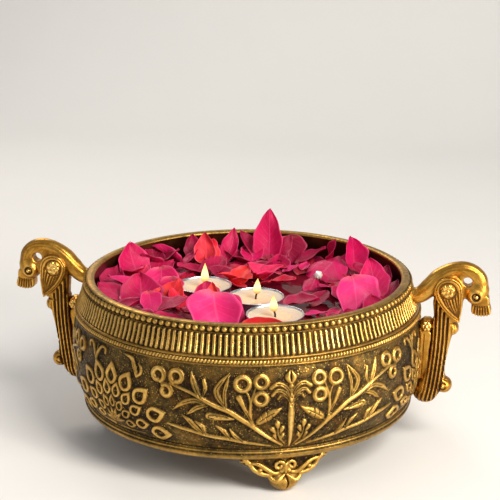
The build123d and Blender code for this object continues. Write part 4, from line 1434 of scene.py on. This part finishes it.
CAMERA_TURN = 11.1               # degrees round from the front, towards +X
CAMERA_RISE = 20.2               # degrees above level
CAMERA_DISTANCE = 1057.5
CAMERA_LENS = 109.4
CAMERA_SENSOR = 36.0
AIM_HEIGHT = 58.7                # the camera is this distance from a point on the axis at this height
AIM_IN_FRAME = Vector((-0.0014, -0.0657, -1.0))   # where that point stands, in the camera's own axes


def build_camera():
    data = bpy.data.cameras.new("camera")
    data.sensor_width = CAMERA_SENSOR
    data.lens = CAMERA_LENS
    camera = bpy.data.objects.new("camera", data)
    bpy.context.scene.collection.objects.link(camera)
    turn, rise = math.radians(CAMERA_TURN), math.radians(CAMERA_RISE)
    away = Vector((math.sin(turn) * math.cos(rise), -math.cos(turn) * math.cos(rise), math.sin(rise)))
    camera.location = (Vector((0, 0, AIM_HEIGHT)) + away * CAMERA_DISTANCE) * MM
    straight = (-away).to_track_quat("-Z", "Y")
    camera.rotation_mode = "QUATERNION"
    tilt = AIM_IN_FRAME.normalized().rotation_difference(Vector((0, 0, -1)))
    camera.rotation_quaternion = straight @ tilt
    bpy.context.scene.camera = camera


def build_floor():
    """One pale sheet that runs back and curves up behind the bowl."""
    reach = 1600.0
    bend = np.radians(np.linspace(0, 90, 16))
    back = np.concatenate([[-reach], 900 + 500 * np.sin(bend), [900 + 500]])
    height = np.concatenate([[0], 500 * (1 - np.cos(bend)), [reach]])
    points = [(x, y, z) for y, z in zip(back, height) for x in (-2 * reach, 2 * reach)]
    sheet = make_mesh("studio_floor", points, grid_faces(len(back), 2)[:, ::-1],
                      pale("studio_floor", (0.80, 0.79, 0.77)))


def area_light(name, place, aim, size, power, colour):
    data = bpy.data.lights.new(name, "AREA")
    data.size = size
    data.energy = power
    data.color = colour
    lamp = bpy.data.objects.new(name, data)
    lamp.location = place
    lamp.rotation_mode = "QUATERNION"
    lamp.rotation_quaternion = (Vector(aim) - Vector(place)).to_track_quat("-Z", "Y")
    bpy.context.scene.collection.objects.link(lamp)


def build_lights():
    bpy.context.scene.view_settings.view_transform = "Standard"
    world = bpy.data.worlds.new("studio")
    world.use_nodes = True
    world.node_tree.nodes["Background"].inputs["Color"].default_value = (0.95, 0.96, 1.0, 1)
    world.node_tree.nodes["Background"].inputs["Strength"].default_value = 0.32
    bpy.context.scene.world = world
    middle = (0, 0, 0.08)
    area_light("key", (0.72, -0.72, 1.05), middle, 0.5, 16, (1.0, 0.95, 0.88))
    area_light("low_key", (1.05, -0.55, 0.38), middle, 0.35, 12, (1.0, 0.94, 0.84))
    area_light("rim", (-0.55, 0.75, 0.95), middle, 0.45, 5, (1.0, 0.94, 0.86))
    area_light("fill", (-0.95, -0.9, 0.55), middle, 0.8, 1.6, (1.0, 0.97, 0.94))


# ---------------------------------------------------------------- everything together

def build_tealights():
    aluminium, wax, wick, flame = aluminium_material(), wax_material(), wick_material(), flame_material()
    for number in TEALIGHTS:
        build_cup(number, aluminium)
        build_wax(number, wax)
        build_wick(number, wick, flame)
    build_sustainers(steel_material())


def build_rivets():
    """The flush rivets keep their CAD shape."""
    plain = Graph("rivet_brass", Metallic=1.0, Roughness=0.38)
    plain.set("Base Color", plain.ramp(plain.noise(200, 3), (0.3, (0.16, 0.08, 0.02)),
                                       (0.7, (0.40, 0.24, 0.06))))
    for name in ("left_handle_rivets", "right_handle_rivets", "foot_rivets"):
        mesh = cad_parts[name].data
        mesh.materials.clear()
        mesh.materials.append(plain.material)


def build_bracts():
    papery = bract_material()
    for heap in (left_heap(), back_heap(), right_heap(), front_heap()):
        heap.finish(papery)
    build_small_flower(white_petal(), flower_heart())


build_bowl(antique_brass("antiqued_brass", 1.0), inner_brass())
build_handles(golden_brass())
build_feet(antique_brass("foot_brass", 1.05))
build_rivets()
build_water(water_material())
build_tealights()
build_bracts()
build_floor()
build_lights()
build_camera()
